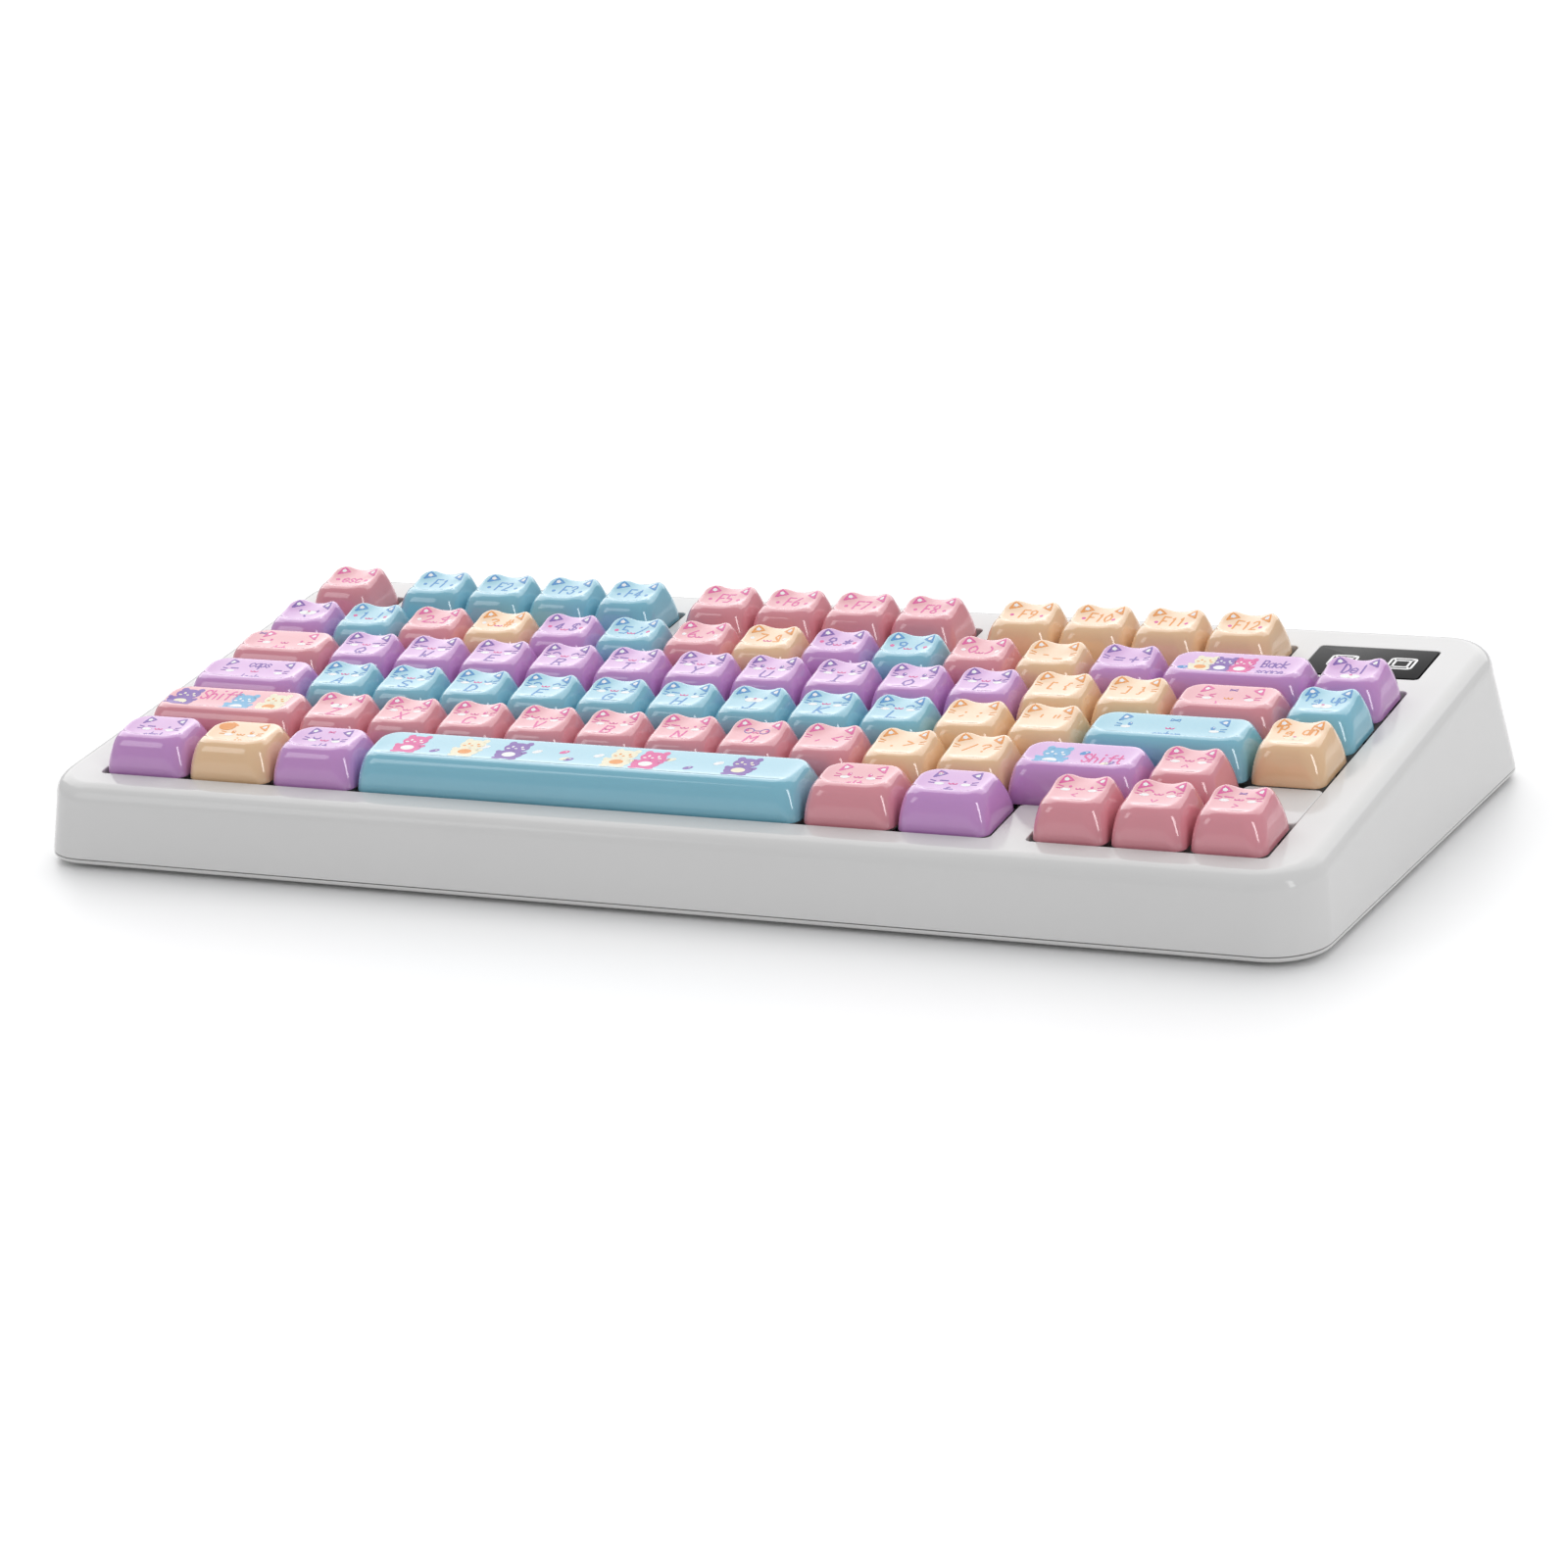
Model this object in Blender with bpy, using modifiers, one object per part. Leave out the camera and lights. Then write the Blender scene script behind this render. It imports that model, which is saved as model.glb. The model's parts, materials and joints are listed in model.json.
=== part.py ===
"""A compact mechanical keyboard: two-part case, switch plate, circuit board and ear-topped keycaps.

Metres, +Z up, the typist sits at -Y. The origin is on the desk, under the middle of the case.
Everything that follows the typing angle hangs from one empty, key_plane. Its own axes are X to the
right, Y away from the typist along the rows, and Z out of the deck, with Z = 0 on the deck's surface.
"""

from math import atan2, cos, pi, radians, sin, tan

import bmesh
import bpy
from mathutils import Matrix, Vector

# Key field
PITCH = 0.01905
CAP_GAP = 0.00085
TYPING_ANGLE = radians(5.9)
TRAVEL = 0.0038
ROW_OF_FUNCTION_KEYS = 5.25
FIELD_UNITS = 16

# Keycap
CAP_RIM = -0.0005
CAP_TAPER_SIDE = 0.0021
CAP_TAPER_FRONT = 0.0024
CAP_TAPER_REAR = 0.0017
CAP_FRONT_HEIGHT = 0.0087
CAP_REAR_HEIGHT = 0.0089
EAR_HEIGHT = 0.0101
EAR_WIDTH = 0.0042
EAR_TIP_INSET = 0.0011
CAP_WALL = 0.0014
CAP_CORNER = 0.0015
POST_WIDTH = 0.0054
POST_DEPTH = 0.0060
GROUP_TAB_WIDTH = 0.006
GROUP_TAB_THICKNESS = 0.0012
GROUP_TAB_HEIGHT = 0.0003
GROUP_TAB_BITE = 0.7
MIDDLE_SHARE = 0.3

# Switches, plate and board, as depths under the deck
PLATE_TOP = TRAVEL + 0.0032
PLATE_THICKNESS = 0.0015
PLATE_MARGIN = 0.0045
PLATE_CORNER = 0.003
SWITCH_CUTOUT = 0.0140
SWITCH_TOP = 0.0004
SWITCH_HEAD_BASE = 0.0144
SWITCH_HEAD_TOP = 0.0110
SWITCH_BODY_DEPTH = 0.0050
SWITCH_WELL_GAP = 0.0006
SWITCH_WEB = 0.0005
SWITCH_WEB_BITE = 0.4
SWITCH_WEB_RISE = 0.6
BOARD_THICKNESS = 0.0016
BOARD_MARGIN = 0.0010
BOARD_CORNER = 0.001

# Case
CASE_WIDTH = 0.3338
CASE_DEPTH = 0.1522
CASE_CORNER = 0.0130
CASE_WALL = 0.0025
CASE_FILLET = 0.0045
SHOULDER_CORNER = 0.0140
SHOULDER_FRONT = 0.0020
SHOULDER_REAR = 0.0073
SIDE_LEAN = radians(4.2)
FIELD_FRONT_MARGIN = 0.0124
DECK_HEIGHT = 0.0214
OPENING_CLEARANCE = 0.00035
OPENING_CORNER = 0.0015
SEAM_HEIGHT = 0.0026
SEAM_GAP = 0.0003
SKIRT_HEIGHT = 0.0006
FLOOR_UNDERSIDE = 0.0012
FLOOR_THICKNESS = 0.0020
TONGUE_INSET = 0.0035
TONGUE_THICKNESS = 0.0012
TONGUE_HEIGHT = 0.0030
TRAY_EDGE = ((0.0013, 0), (0.00035, 0.0005))
REAR_CUT_LENGTH = 0.012
REAR_CUT_OUTSIDE = 0.004

# Badge, insert and what sits on the rear wall
BADGE_SIZE = (0.0298, 0.0174, 0.0009)
BADGE_RIGHT_INSET = 0.0001
BADGE_ROW = 5.36
BADGE_PROUD = 0.0001
BADGE_CORNER = 0.0008
INSERT_SINK = 0.0004
INSERT_SIDE_GAP = 0.0002
INSERT_ROW_GAP = 0.0001
INSERT_LEG_INSET = 0.003
INSERT_LEG_RADIUS = 0.0015
USB_X = -0.060
USB_HEIGHT = 0.0129
USB_SHELL = (0.0090, 0.0074, 0.0033)
USB_WALL = 0.0004
USB_RECESS = (0.0134, 0.0074)
USB_RECESS_CORNER = 0.003
USB_CORNER_SHARE = 0.8
USB_MOUTH_SHARE = 0.8
USB_SUNK = 0.0001
USB_POST_X = 0.008
USB_POST_RADIUS = 0.002
USB_BOARD = (0.024, 0.016, 0.0012)
MODE_X = -0.030
MODE_HEIGHT = 0.0129
MODE_NUB = (0.0032, 0.0024)
MODE_NUB_PROUD = 0.0008
MODE_SLOT_CORNER = 0.0008
MODE_TRAVEL = 0.006
MODE_BACK = (0.016, 0.0014, 0.0056)

# Feet and battery
PAD_RADIUS = 0.0065
PAD_X = 0.150
PAD_Y = 0.062
PAD_STEM_RADIUS = 0.0025
PAD_STEM_FOOT = 0.0004
RUNNER = (0.003, 0.0008)
FOOT_X = 0.112
FOOT_HINGE_Y = 0.062
FOOT_SIZE = (0.032, 0.015, 0.0034)
FOOT_RECESS = 0.0002
HINGE_PIN_RADIUS = 0.0009
HINGE_PIN_LENGTH = 0.0014
POCKET_WALL = 0.0014
BATTERY_SIZE = (0.110, 0.050, 0.007)
BATTERY_CENTRE = (0.020, 0.020)
BATTERY_CORNER = 0.003
BATTERY_EDGE = 0.001

# Stabiliser wire under the space bar
WIRE_RADIUS = 0.0008
WIRE_END_INSET = 0.0091
WIRE_ARM = 0.011
WIRE_BAR_Y = -0.0086
WIRE_BAR_DEPTH = TRAVEL + 0.0015
WIRE_POST_HALF = 0.002

# Bosses and posts
BOSS_RADIUS = 0.0030
BOSS_BORE = 0.0011
BOSS_BORE_DEPTH = 0.012
SCREW_HOLE = 0.0016
BOSS_Y = 0.0665
BOSS_XS = (-0.142, 0.005, 0.142)
POST_RADIUS = 0.0017
EDGE_POST_ROWS = (0, 2.5, 5)
BOARD_POST_RADIUS = 0.0025
BOARD_POST_PLACES = ((-0.075, 1.5), (0.095, 1.5))
BOARD_POST_FROM_PADS = 0.0045
HOLE_PAST_FLOOR = 0.001

GAP = 0.0003  # between pieces that touch on the real keyboard
DEEP = 0.050  # longer than anything that a cutter has to pass through

# Rows from the front, as (row, keys): a key is (name, width in units), and a bare number is a space.
KEY_ROWS = (
    (0, [("left_ctrl", 1.25), ("left_super", 1.25), ("left_alt", 1.25), ("space", 6.25),
         ("right_alt", 1.25), ("fn", 1.25), 0.5, ("left", 1), ("down", 1), ("right", 1)]),
    (1, [("left_shift", 2.25), *((c, 1) for c in "zxcvbnm"), ("comma", 1), ("period", 1),
         ("slash", 1), ("right_shift", 1.75), ("up", 1)]),
    (2, [("caps_lock", 1.75), *((c, 1) for c in "asdfghjkl"), ("semicolon", 1), ("quote", 1),
         ("enter", 2.25), ("page_down", 1)]),
    (3, [("tab", 1.5), *((c, 1) for c in "qwertyuiop"), ("left_bracket", 1),
         ("right_bracket", 1), ("backslash", 1.5), ("page_up", 1)]),
    (4, [("grave", 1), *((c, 1) for c in "1234567890"), ("minus", 1), ("equals", 1),
         ("backspace", 2), ("delete", 1)]),
    (ROW_OF_FUNCTION_KEYS, [("escape", 1), 0.375, *((f"f{n}", 1) for n in range(1, 5)), 0.375,
                            *((f"f{n}", 1) for n in range(5, 9)), 0.375,
                            *((f"f{n}", 1) for n in range(9, 13))]),
)

# Neighbouring keys that share one node, because a node is the smallest thing that can move alone.
KEY_GROUPS = {
    "keys_f1_to_f4": ["f1", "f2", "f3", "f4"],
    "keys_f5_to_f8": ["f5", "f6", "f7", "f8"],
    "keys_f9_to_f12": ["f9", "f10", "f11", "f12"],
    "keys_number_row": ["grave", *"1234567890", "minus", "equals"],
    "keys_brackets": ["left_bracket", "right_bracket", "backslash"],
    "keys_semicolon_quote": ["semicolon", "quote"],
    "keys_comma_to_slash": ["comma", "period", "slash"],
    "keys_delete_and_page": ["delete", "page_up", "page_down"],
    "keys_left_modifiers": ["left_ctrl", "left_super", "left_alt"],
    "keys_right_modifiers": ["right_alt", "fn"],
    "keys_left_down_right": ["left", "down", "right"],
}

COLOURS = {
    "case_white": ((0.86, 0.85, 0.83), 0.18, 0.0),
    "cap_purple": ((0.62, 0.42, 0.80), 0.25, 0.0),
    "cap_pink": ((0.90, 0.48, 0.58), 0.25, 0.0),
    "cap_blue": ((0.42, 0.70, 0.84), 0.25, 0.0),
    "cap_cream": ((0.92, 0.78, 0.52), 0.25, 0.0),
    "badge_black": ((0.02, 0.02, 0.02), 0.30, 0.0),
    "steel": ((0.60, 0.60, 0.62), 0.35, 1.0),
    "plate_white": ((0.80, 0.80, 0.80), 0.40, 0.0),
    "board_green": ((0.03, 0.15, 0.08), 0.50, 0.0),
    "switch_black": ((0.05, 0.05, 0.06), 0.35, 0.0),
    "battery_silver": ((0.55, 0.56, 0.58), 0.45, 0.0),
    "rubber_grey": ((0.20, 0.20, 0.20), 0.80, 0.0),
}
PINK = {"escape", "f5", "f6", "f7", "f8", "2", "6", "0", "tab", "backslash", "left_shift",
        "z", "x", "c", "v", "b", "n", "m", "comma", "up", "right_alt", "left", "down", "right"}
BLUE = {"f1", "f2", "f3", "f4", "1", "5", "9", "a", "s", "d", "f", "g", "h", "j", "k", "l",
        "enter", "space", "page_up"}
CREAM = {"f9", "f10", "f11", "f12", "3", "7", "minus", "left_bracket", "right_bracket",
         "semicolon", "quote", "period", "slash", "left_super", "page_down"}


# Scene and mesh helpers


def clear_scene():
    for obj in list(bpy.data.objects):
        bpy.data.objects.remove(obj, do_unlink=True)


def new_collection(name):
    collection = bpy.data.collections.new(name)
    bpy.context.scene.collection.children.link(collection)
    return collection


def finish_material(name):
    if name in bpy.data.materials:
        return bpy.data.materials[name]
    colour, roughness, metallic = COLOURS[name]
    material = bpy.data.materials.new(name)
    material.use_nodes = True
    shader = material.node_tree.nodes["Principled BSDF"]
    shader.inputs["Base Color"].default_value = (*colour, 1)
    shader.inputs["Roughness"].default_value = roughness
    shader.inputs["Metallic"].default_value = metallic
    return material


def add_ring(bm, points):
    return [bm.verts.new(point) for point in points]


def skin(bm, lower, upper):
    """Joins two rings that run the same way round one axis, with triangles where their counts differ."""
    if len(lower) == len(upper):
        for i in range(len(lower)):
            j = (i + 1) % len(lower)
            bm.faces.new((lower[i], lower[j], upper[j], upper[i]))
        return
    middle = sum((v.co for v in lower), Vector()) / len(lower)

    def bearing(vert, turns):
        return atan2(vert.co.y - middle.y, vert.co.x - middle.x) + 2 * pi * turns

    def unwound(ring):
        start = min(range(len(ring)), key=lambda k: bearing(ring[k], 0))
        ordered = ring[start:] + ring[:start]
        return ordered + ordered[:1], [bearing(v, 0) for v in ordered] + [bearing(ordered[0], 1)]

    (low, low_at), (up, up_at) = unwound(lower), unwound(upper)
    i = j = 0
    while i < len(lower) or j < len(upper):
        if j == len(upper) or (i < len(lower) and low_at[i + 1] <= up_at[j + 1]):
            bm.faces.new((low[i], low[i + 1], up[j]))
            i += 1
        else:
            bm.faces.new((low[i], up[j + 1], up[j]))
            j += 1


def make_object(name, bm, home, finish, parent=None, at=(0, 0, 0)):
    bmesh.ops.recalc_face_normals(bm, faces=bm.faces[:])
    mesh = bpy.data.meshes.new(name)
    bm.to_mesh(mesh)
    bm.free()
    if finish:
        mesh.materials.append(finish_material(finish))
    obj = bpy.data.objects.new(name, mesh)
    home.objects.link(obj)
    obj.parent = parent
    obj.location = at
    if home is helpers:
        obj.hide_render = True
        obj.display_type = "WIRE"
    return obj


def add_block(bm, low, high):
    """A closed box between two corners."""
    low, high = Vector(low), Vector(high)
    place = Matrix.Translation((low + high) / 2) @ Matrix.Diagonal((*(high - low), 1))
    bmesh.ops.create_cube(bm, size=1, matrix=place)


def add_drum(bm, centre, radius, low, high, along="Z", sides=12):
    """A closed cylinder along Z or X, from low to high on that axis."""
    turn = Matrix.Rotation(radians(90), 4, "Y") if along == "X" else Matrix()
    middle = (low + high) / 2
    x, y, z = centre
    place = Matrix.Translation((middle, y, z) if along == "X" else (x, y, middle)) @ turn
    bmesh.ops.create_cone(bm, cap_ends=True, segments=sides, radius1=radius, radius2=radius,
                          depth=high - low, matrix=place)


def add_prism(bm, outline, low, high):
    """A closed prism of a flat outline, between two heights."""
    bottom = add_ring(bm, [(x, y, low) for x, y in outline])
    top = add_ring(bm, [(x, y, high) for x, y in outline])
    skin(bm, bottom, top)
    bm.faces.new(bottom)
    bm.faces.new(top)


def rounded(corners, radius, steps):
    """An outline of right-angled corners, inner or outer, with each one rounded by an arc."""
    points = []
    for i, corner in enumerate(corners):
        here = Vector(corner)
        back = (Vector(corners[i - 1]) - here).normalized()
        ahead = (Vector(corners[(i + 1) % len(corners)]) - here).normalized()
        centre = here + (back + ahead) * radius
        for step in range(steps + 1):
            angle = step / steps * pi / 2
            points.append(centre - ahead * radius * cos(angle) - back * radius * sin(angle))
    return points


def rectangle(left, right, front, rear):
    return [(left, front), (right, front), (right, rear), (left, rear)]


def combine(target, tool, operation):
    modifier = target.modifiers.new(f"{operation.lower()}_{tool.name}", "BOOLEAN")
    modifier.operation = operation
    modifier.object = tool


# Where things are


def field_x(units):
    """The X of a place counted in key units from the left end of the key field."""
    return (units - FIELD_UNITS / 2) * PITCH


def deck_z(y):
    """The deck's height in the world at Y."""
    return deck_origin.z + (y - deck_origin.y) * tan(TYPING_ANGLE)


def on_key_plane(y, depth):
    """World (y, z) of a place on the key plane, y along the rows and depth under the deck."""
    return (deck_origin.y + y * cos(TYPING_ANGLE) + depth * sin(TYPING_ANGLE),
            deck_origin.z + y * sin(TYPING_ANGLE) - depth * cos(TYPING_ANGLE))


def board_underside(y):
    """The height of the circuit board's lower face in the world at Y."""
    return deck_z(y) - board_bottom / cos(TYPING_ANGLE)


def case_outline(inset=0.0, steps=6):
    """The case's widest plan, at the seam, drawn in evenly by an inset."""
    half_width, half_depth = CASE_WIDTH / 2 - inset, CASE_DEPTH / 2 - inset
    corners = rectangle(-half_width, half_width, -half_depth, half_depth)
    return rounded(corners, CASE_CORNER - inset, steps)


def shoulder_ring(inset, drop, steps=6):
    """Places round the top edge, drawn in from the leaning walls by an inset, at a drop under the deck."""
    half_width = CASE_WIDTH / 2 - inset
    corners = rectangle(-half_width, half_width, SHOULDER_FRONT + inset - CASE_DEPTH / 2,
                        CASE_DEPTH / 2 - SHOULDER_REAR - inset)
    ring = []
    for x, y in rounded(corners, SHOULDER_CORNER - inset, steps):
        lean = tan(SIDE_LEAN) * (deck_z(y) - CASE_FILLET - SEAM_HEIGHT)
        ring.append((x * (1 - lean / half_width), y, deck_z(y) - drop))
    return ring


def lay_out_keys():
    """Each key as name: (x centre, row centre, width in units)."""
    found = {}
    for row, entries in KEY_ROWS:
        at = 0
        for entry in entries:
            if isinstance(entry, tuple):
                name, width = entry
                found[name] = (field_x(at + width / 2), row * PITCH, width)
                at += width
            else:
                at += entry
    return found


clear_scene()
parts = new_collection("mechanical_keyboard")
helpers = new_collection("cutters")
keys = lay_out_keys()
deck_origin = Vector((0, -CASE_DEPTH / 2 + FIELD_FRONT_MARGIN + PITCH / 2 * cos(TYPING_ANGLE), 0))
deck_origin.z = DECK_HEIGHT + PITCH / 2 * sin(TYPING_ANGLE)
key_plane = bpy.data.objects.new("key_plane", None)
parts.objects.link(key_plane)
key_plane.location = deck_origin
key_plane.rotation_euler.x = TYPING_ANGLE

plate_bottom = PLATE_TOP + PLATE_THICKNESS
board_top = PLATE_TOP + SWITCH_BODY_DEPTH
board_bottom = board_top + BOARD_THICKNESS
floor_top = FLOOR_UNDERSIDE + FLOOR_THICKNESS
field_half = FIELD_UNITS / 2 * PITCH
field_front = -PITCH / 2
field_rear = (ROW_OF_FUNCTION_KEYS + 0.5) * PITCH


# Top case: a moulded shell, open underneath, with an opening for each block of keys


def case_shell():
    """The outer skin from the seam up over the fillet to the deck, which follows the typing angle."""
    bm = bmesh.new()
    foot = SEAM_HEIGHT + SEAM_GAP / 2
    rings = [add_ring(bm, [(x, y, z) for x, y in case_outline()]) for z in (foot, foot + SKIRT_HEIGHT)]
    steps = 4
    for step in range(steps + 1):
        angle = step / steps * pi / 2
        inward = CASE_FILLET * (1 - cos(angle))
        drop = CASE_FILLET * (1 - sin(angle))
        rings.append(add_ring(bm, shoulder_ring(inward, drop)))
    for lower, upper in zip(rings, rings[1:]):
        skin(bm, lower, upper)
    bm.faces.new(rings[-1])
    return bm


def key_openings():
    """One prism for each opening in the deck: the main block and the four blocks of the rear row."""
    c = OPENING_CLEARANCE
    left, right = field_x(0) - c, field_x(FIELD_UNITS) + c
    front, rear = field_front - c, 4.5 * PITCH + c
    bridge_rear = PITCH / 2 - c
    outlines = [[(left, front), (field_x(12.5) + c, front), (field_x(12.5) + c, bridge_rear),
                 (field_x(13) - c, bridge_rear), (field_x(13) - c, front), (right, front),
                 (right, rear), (left, rear)]]
    row_front = (ROW_OF_FUNCTION_KEYS - 0.5) * PITCH - c
    for first, last in (("escape", "escape"), ("f1", "f4"), ("f5", "f8"), ("f9", "f12")):
        outlines.append(rectangle(keys[first][0] - PITCH / 2 - c, keys[last][0] + PITCH / 2 + c,
                                  row_front, field_rear + c))
    bm = bmesh.new()
    for outline in outlines:
        add_prism(bm, rounded(outline, OPENING_CORNER, 2), -CASE_WALL * 2, CASE_WALL * 2)
    return bm


def badge_centre():
    return field_x(FIELD_UNITS) - BADGE_RIGHT_INSET - BADGE_SIZE[0] / 2, BADGE_ROW * PITCH


def badge_outline(grow):
    x, y = badge_centre()
    half_x, half_y = BADGE_SIZE[0] / 2 + grow, BADGE_SIZE[1] / 2 + grow
    return rounded(rectangle(x - half_x, x + half_x, y - half_y, y + half_y), BADGE_CORNER + grow, 2)


def rear_wall_cut(x, height, width, tall, corner):
    """A rounded slot through the rear wall."""
    bm = bmesh.new()
    outline = rounded(rectangle(-width / 2, width / 2, -tall / 2, tall / 2), corner, 3)
    add_prism(bm, outline, 0, REAR_CUT_LENGTH)
    turn = Matrix.Translation((x, CASE_DEPTH / 2 + REAR_CUT_OUTSIDE, height)) @ Matrix.Rotation(radians(90), 4, "X")
    bmesh.ops.transform(bm, matrix=turn, verts=bm.verts[:])
    return bm


def edge_posts():
    """Places beside the circuit board where the case carries the edge of the plate."""
    x = field_half + (PLATE_MARGIN + BOARD_MARGIN) / 2
    return [(side * x, row * PITCH) for side in (-1, 1) for row in EDGE_POST_ROWS]


def make_top_case():
    case = make_object("top_case", case_shell(), parts, "case_white")
    wall = case.modifiers.new("wall", "SOLIDIFY")
    wall.thickness = CASE_WALL
    wall.offset = -1
    wall.use_even_offset = True

    bm = bmesh.new()
    for x, y in edge_posts():
        add_drum(bm, (x, y, 0), POST_RADIUS, -PLATE_TOP + GAP, -CASE_WALL / 2, sides=8)
    combine(case, make_object("plate_stops", bm, helpers, None, key_plane), "UNION")
    bm = bmesh.new()
    for x in BOSS_XS:
        add_drum(bm, (x, BOSS_Y, 0), BOSS_RADIUS, floor_top + GAP, deck_z(BOSS_Y) - CASE_WALL / 2)
    combine(case, make_object("screw_bosses", bm, helpers, None), "UNION")
    bm = bmesh.new()
    for x in BOSS_XS:
        add_drum(bm, (x, BOSS_Y, 0), BOSS_BORE, 0, floor_top + BOSS_BORE_DEPTH, sides=8)
    combine(case, make_object("screw_bores", bm, helpers, None), "DIFFERENCE")

    combine(case, make_object("key_openings", key_openings(), helpers, None, key_plane), "DIFFERENCE")
    bm = bmesh.new()
    recess = BADGE_SIZE[2] - BADGE_PROUD + GAP
    add_prism(bm, badge_outline(GAP), -recess, CASE_WALL)
    combine(case, make_object("badge_recess", bm, helpers, None, key_plane), "DIFFERENCE")
    width, tall = USB_RECESS
    slot = rear_wall_cut(USB_X, USB_HEIGHT, width, tall, USB_RECESS_CORNER)
    combine(case, make_object("usb_recess", slot, helpers, None), "DIFFERENCE")
    width, tall = MODE_NUB
    slot = rear_wall_cut(MODE_X + MODE_TRAVEL / 2, MODE_HEIGHT, width + MODE_TRAVEL + 2 * GAP,
                         tall + 2 * GAP, MODE_SLOT_CORNER)
    combine(case, make_object("mode_slot", slot, helpers, None), "DIFFERENCE")
    return case


# Bottom case: a shallow tray with a locating tongue, posts, and a pocket for each folding foot


def foot_hinge_z():
    return FLOOR_UNDERSIDE + FOOT_RECESS + FOOT_SIZE[2] / 2


def pocket_box(side, wall):
    """Low and high corners of a foot's pocket, with a wall round it on all sides but the bottom."""
    half = FOOT_SIZE[0] / 2 + GAP + wall
    rear = FOOT_HINGE_Y + FOOT_SIZE[2] / 2 + GAP + wall
    front = FOOT_HINGE_Y - FOOT_SIZE[1] - 2 * GAP - wall
    roof = foot_hinge_z() + FOOT_SIZE[2] / 2 + GAP + wall
    return (side * FOOT_X - half, front, roof), (side * FOOT_X + half, rear, roof)


def make_bottom_case():
    bm = bmesh.new()
    top = SEAM_HEIGHT - SEAM_GAP / 2
    rim = TONGUE_INSET + TONGUE_THICKNESS
    levels = (*((inset, FLOOR_UNDERSIDE + rise) for inset, rise in TRAY_EDGE), (0, top), (TONGUE_INSET, top),
              (TONGUE_INSET, top + TONGUE_HEIGHT), (rim, top + TONGUE_HEIGHT),
              (rim, floor_top))
    rings = [add_ring(bm, [(x, y, z) for x, y in case_outline(inset)]) for inset, z in levels]
    for lower, upper in zip(rings, rings[1:]):
        skin(bm, lower, upper)
    bm.faces.new(rings[0])
    bm.faces.new(rings[-1])
    case = make_object("bottom_case", bm, parts, "case_white")

    bm = bmesh.new()
    sunk = floor_top - FLOOR_THICKNESS / 2
    for side in (-1, 1):
        (x0, y0, roof), (x1, y1, _) = pocket_box(side, POCKET_WALL)
        add_block(bm, (x0, y0, sunk), (x1, y1, roof))
    for x, row_y in edge_posts():
        y, z = on_key_plane(row_y, plate_bottom + GAP)
        add_drum(bm, (x, y, 0), POST_RADIUS, sunk, z - POST_RADIUS * tan(TYPING_ANGLE), sides=8)
    for x in (USB_X - USB_POST_X, USB_X + USB_POST_X):
        add_drum(bm, (x, usb_board_centre_y(), 0), USB_POST_RADIUS, sunk, usb_board_z() - GAP, sides=8)
    places = [(x, on_key_plane(row * PITCH, board_bottom + GAP)[0]) for x, row in BOARD_POST_PLACES]
    for x, y in (*places, (0, BOARD_POST_FROM_PADS - PAD_Y)):
        top = board_underside(y) - GAP - BOARD_POST_RADIUS * tan(TYPING_ANGLE)
        add_drum(bm, (x, y, 0), BOARD_POST_RADIUS, sunk, top, sides=8)
    combine(case, make_object("floor_features", bm, helpers, None), "UNION")

    bm = bmesh.new()
    for side in (-1, 1):
        (x0, y0, roof), (x1, y1, _) = pocket_box(side, 0)
        add_block(bm, (x0, y0, -FLOOR_UNDERSIDE), (x1, y1, roof))
    combine(case, make_object("foot_pockets", bm, helpers, None), "DIFFERENCE")
    bm = bmesh.new()
    for side in (-1, 1):
        reach = FOOT_SIZE[0] / 2 + HINGE_PIN_LENGTH + 2 * GAP
        add_drum(bm, (0, FOOT_HINGE_Y, foot_hinge_z()), HINGE_PIN_RADIUS + GAP,
                 side * FOOT_X - reach, side * FOOT_X + reach, "X")
    combine(case, make_object("hinge_holes", bm, helpers, None), "DIFFERENCE")
    bm = bmesh.new()
    for x in (-PAD_X, PAD_X):
        for y in (-PAD_Y, PAD_Y):
            add_drum(bm, (x, y, 0), PAD_STEM_RADIUS + GAP, -DEEP, floor_top + HOLE_PAST_FLOOR)
    for x in BOSS_XS:
        add_drum(bm, (x, BOSS_Y, 0), SCREW_HOLE, -DEEP, floor_top + HOLE_PAST_FLOOR)
    combine(case, make_object("floor_holes", bm, helpers, None), "DIFFERENCE")
    return case


# Plate, circuit board and switches


def field_outline(margin, corner, steps=3):
    return rounded(rectangle(-field_half - margin, field_half + margin, field_front - margin,
                             field_rear + margin), corner, steps)


def make_plate():
    bm = bmesh.new()
    add_prism(bm, field_outline(PLATE_MARGIN, PLATE_CORNER), -plate_bottom, -PLATE_TOP)
    plate = make_object("switch_plate", bm, parts, "plate_white", key_plane)
    bm = bmesh.new()
    half = SWITCH_CUTOUT / 2
    for x, y, _ in keys.values():
        add_block(bm, (x - half, y - half, -plate_bottom - GAP), (x + half, y + half, -PLATE_TOP + GAP))
    combine(plate, make_object("switch_cutouts", bm, helpers, None, key_plane), "DIFFERENCE")


def make_board():
    bm = bmesh.new()
    add_prism(bm, field_outline(BOARD_MARGIN, BOARD_CORNER, 2), -board_bottom, -board_top)
    make_object("circuit_board", bm, parts, "board_green", key_plane)


def square_ring(bm, x, y, width, z):
    half = width / 2
    return add_ring(bm, [(px, py, z) for px, py in rectangle(x - half, x + half, y - half, y + half)])


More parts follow.
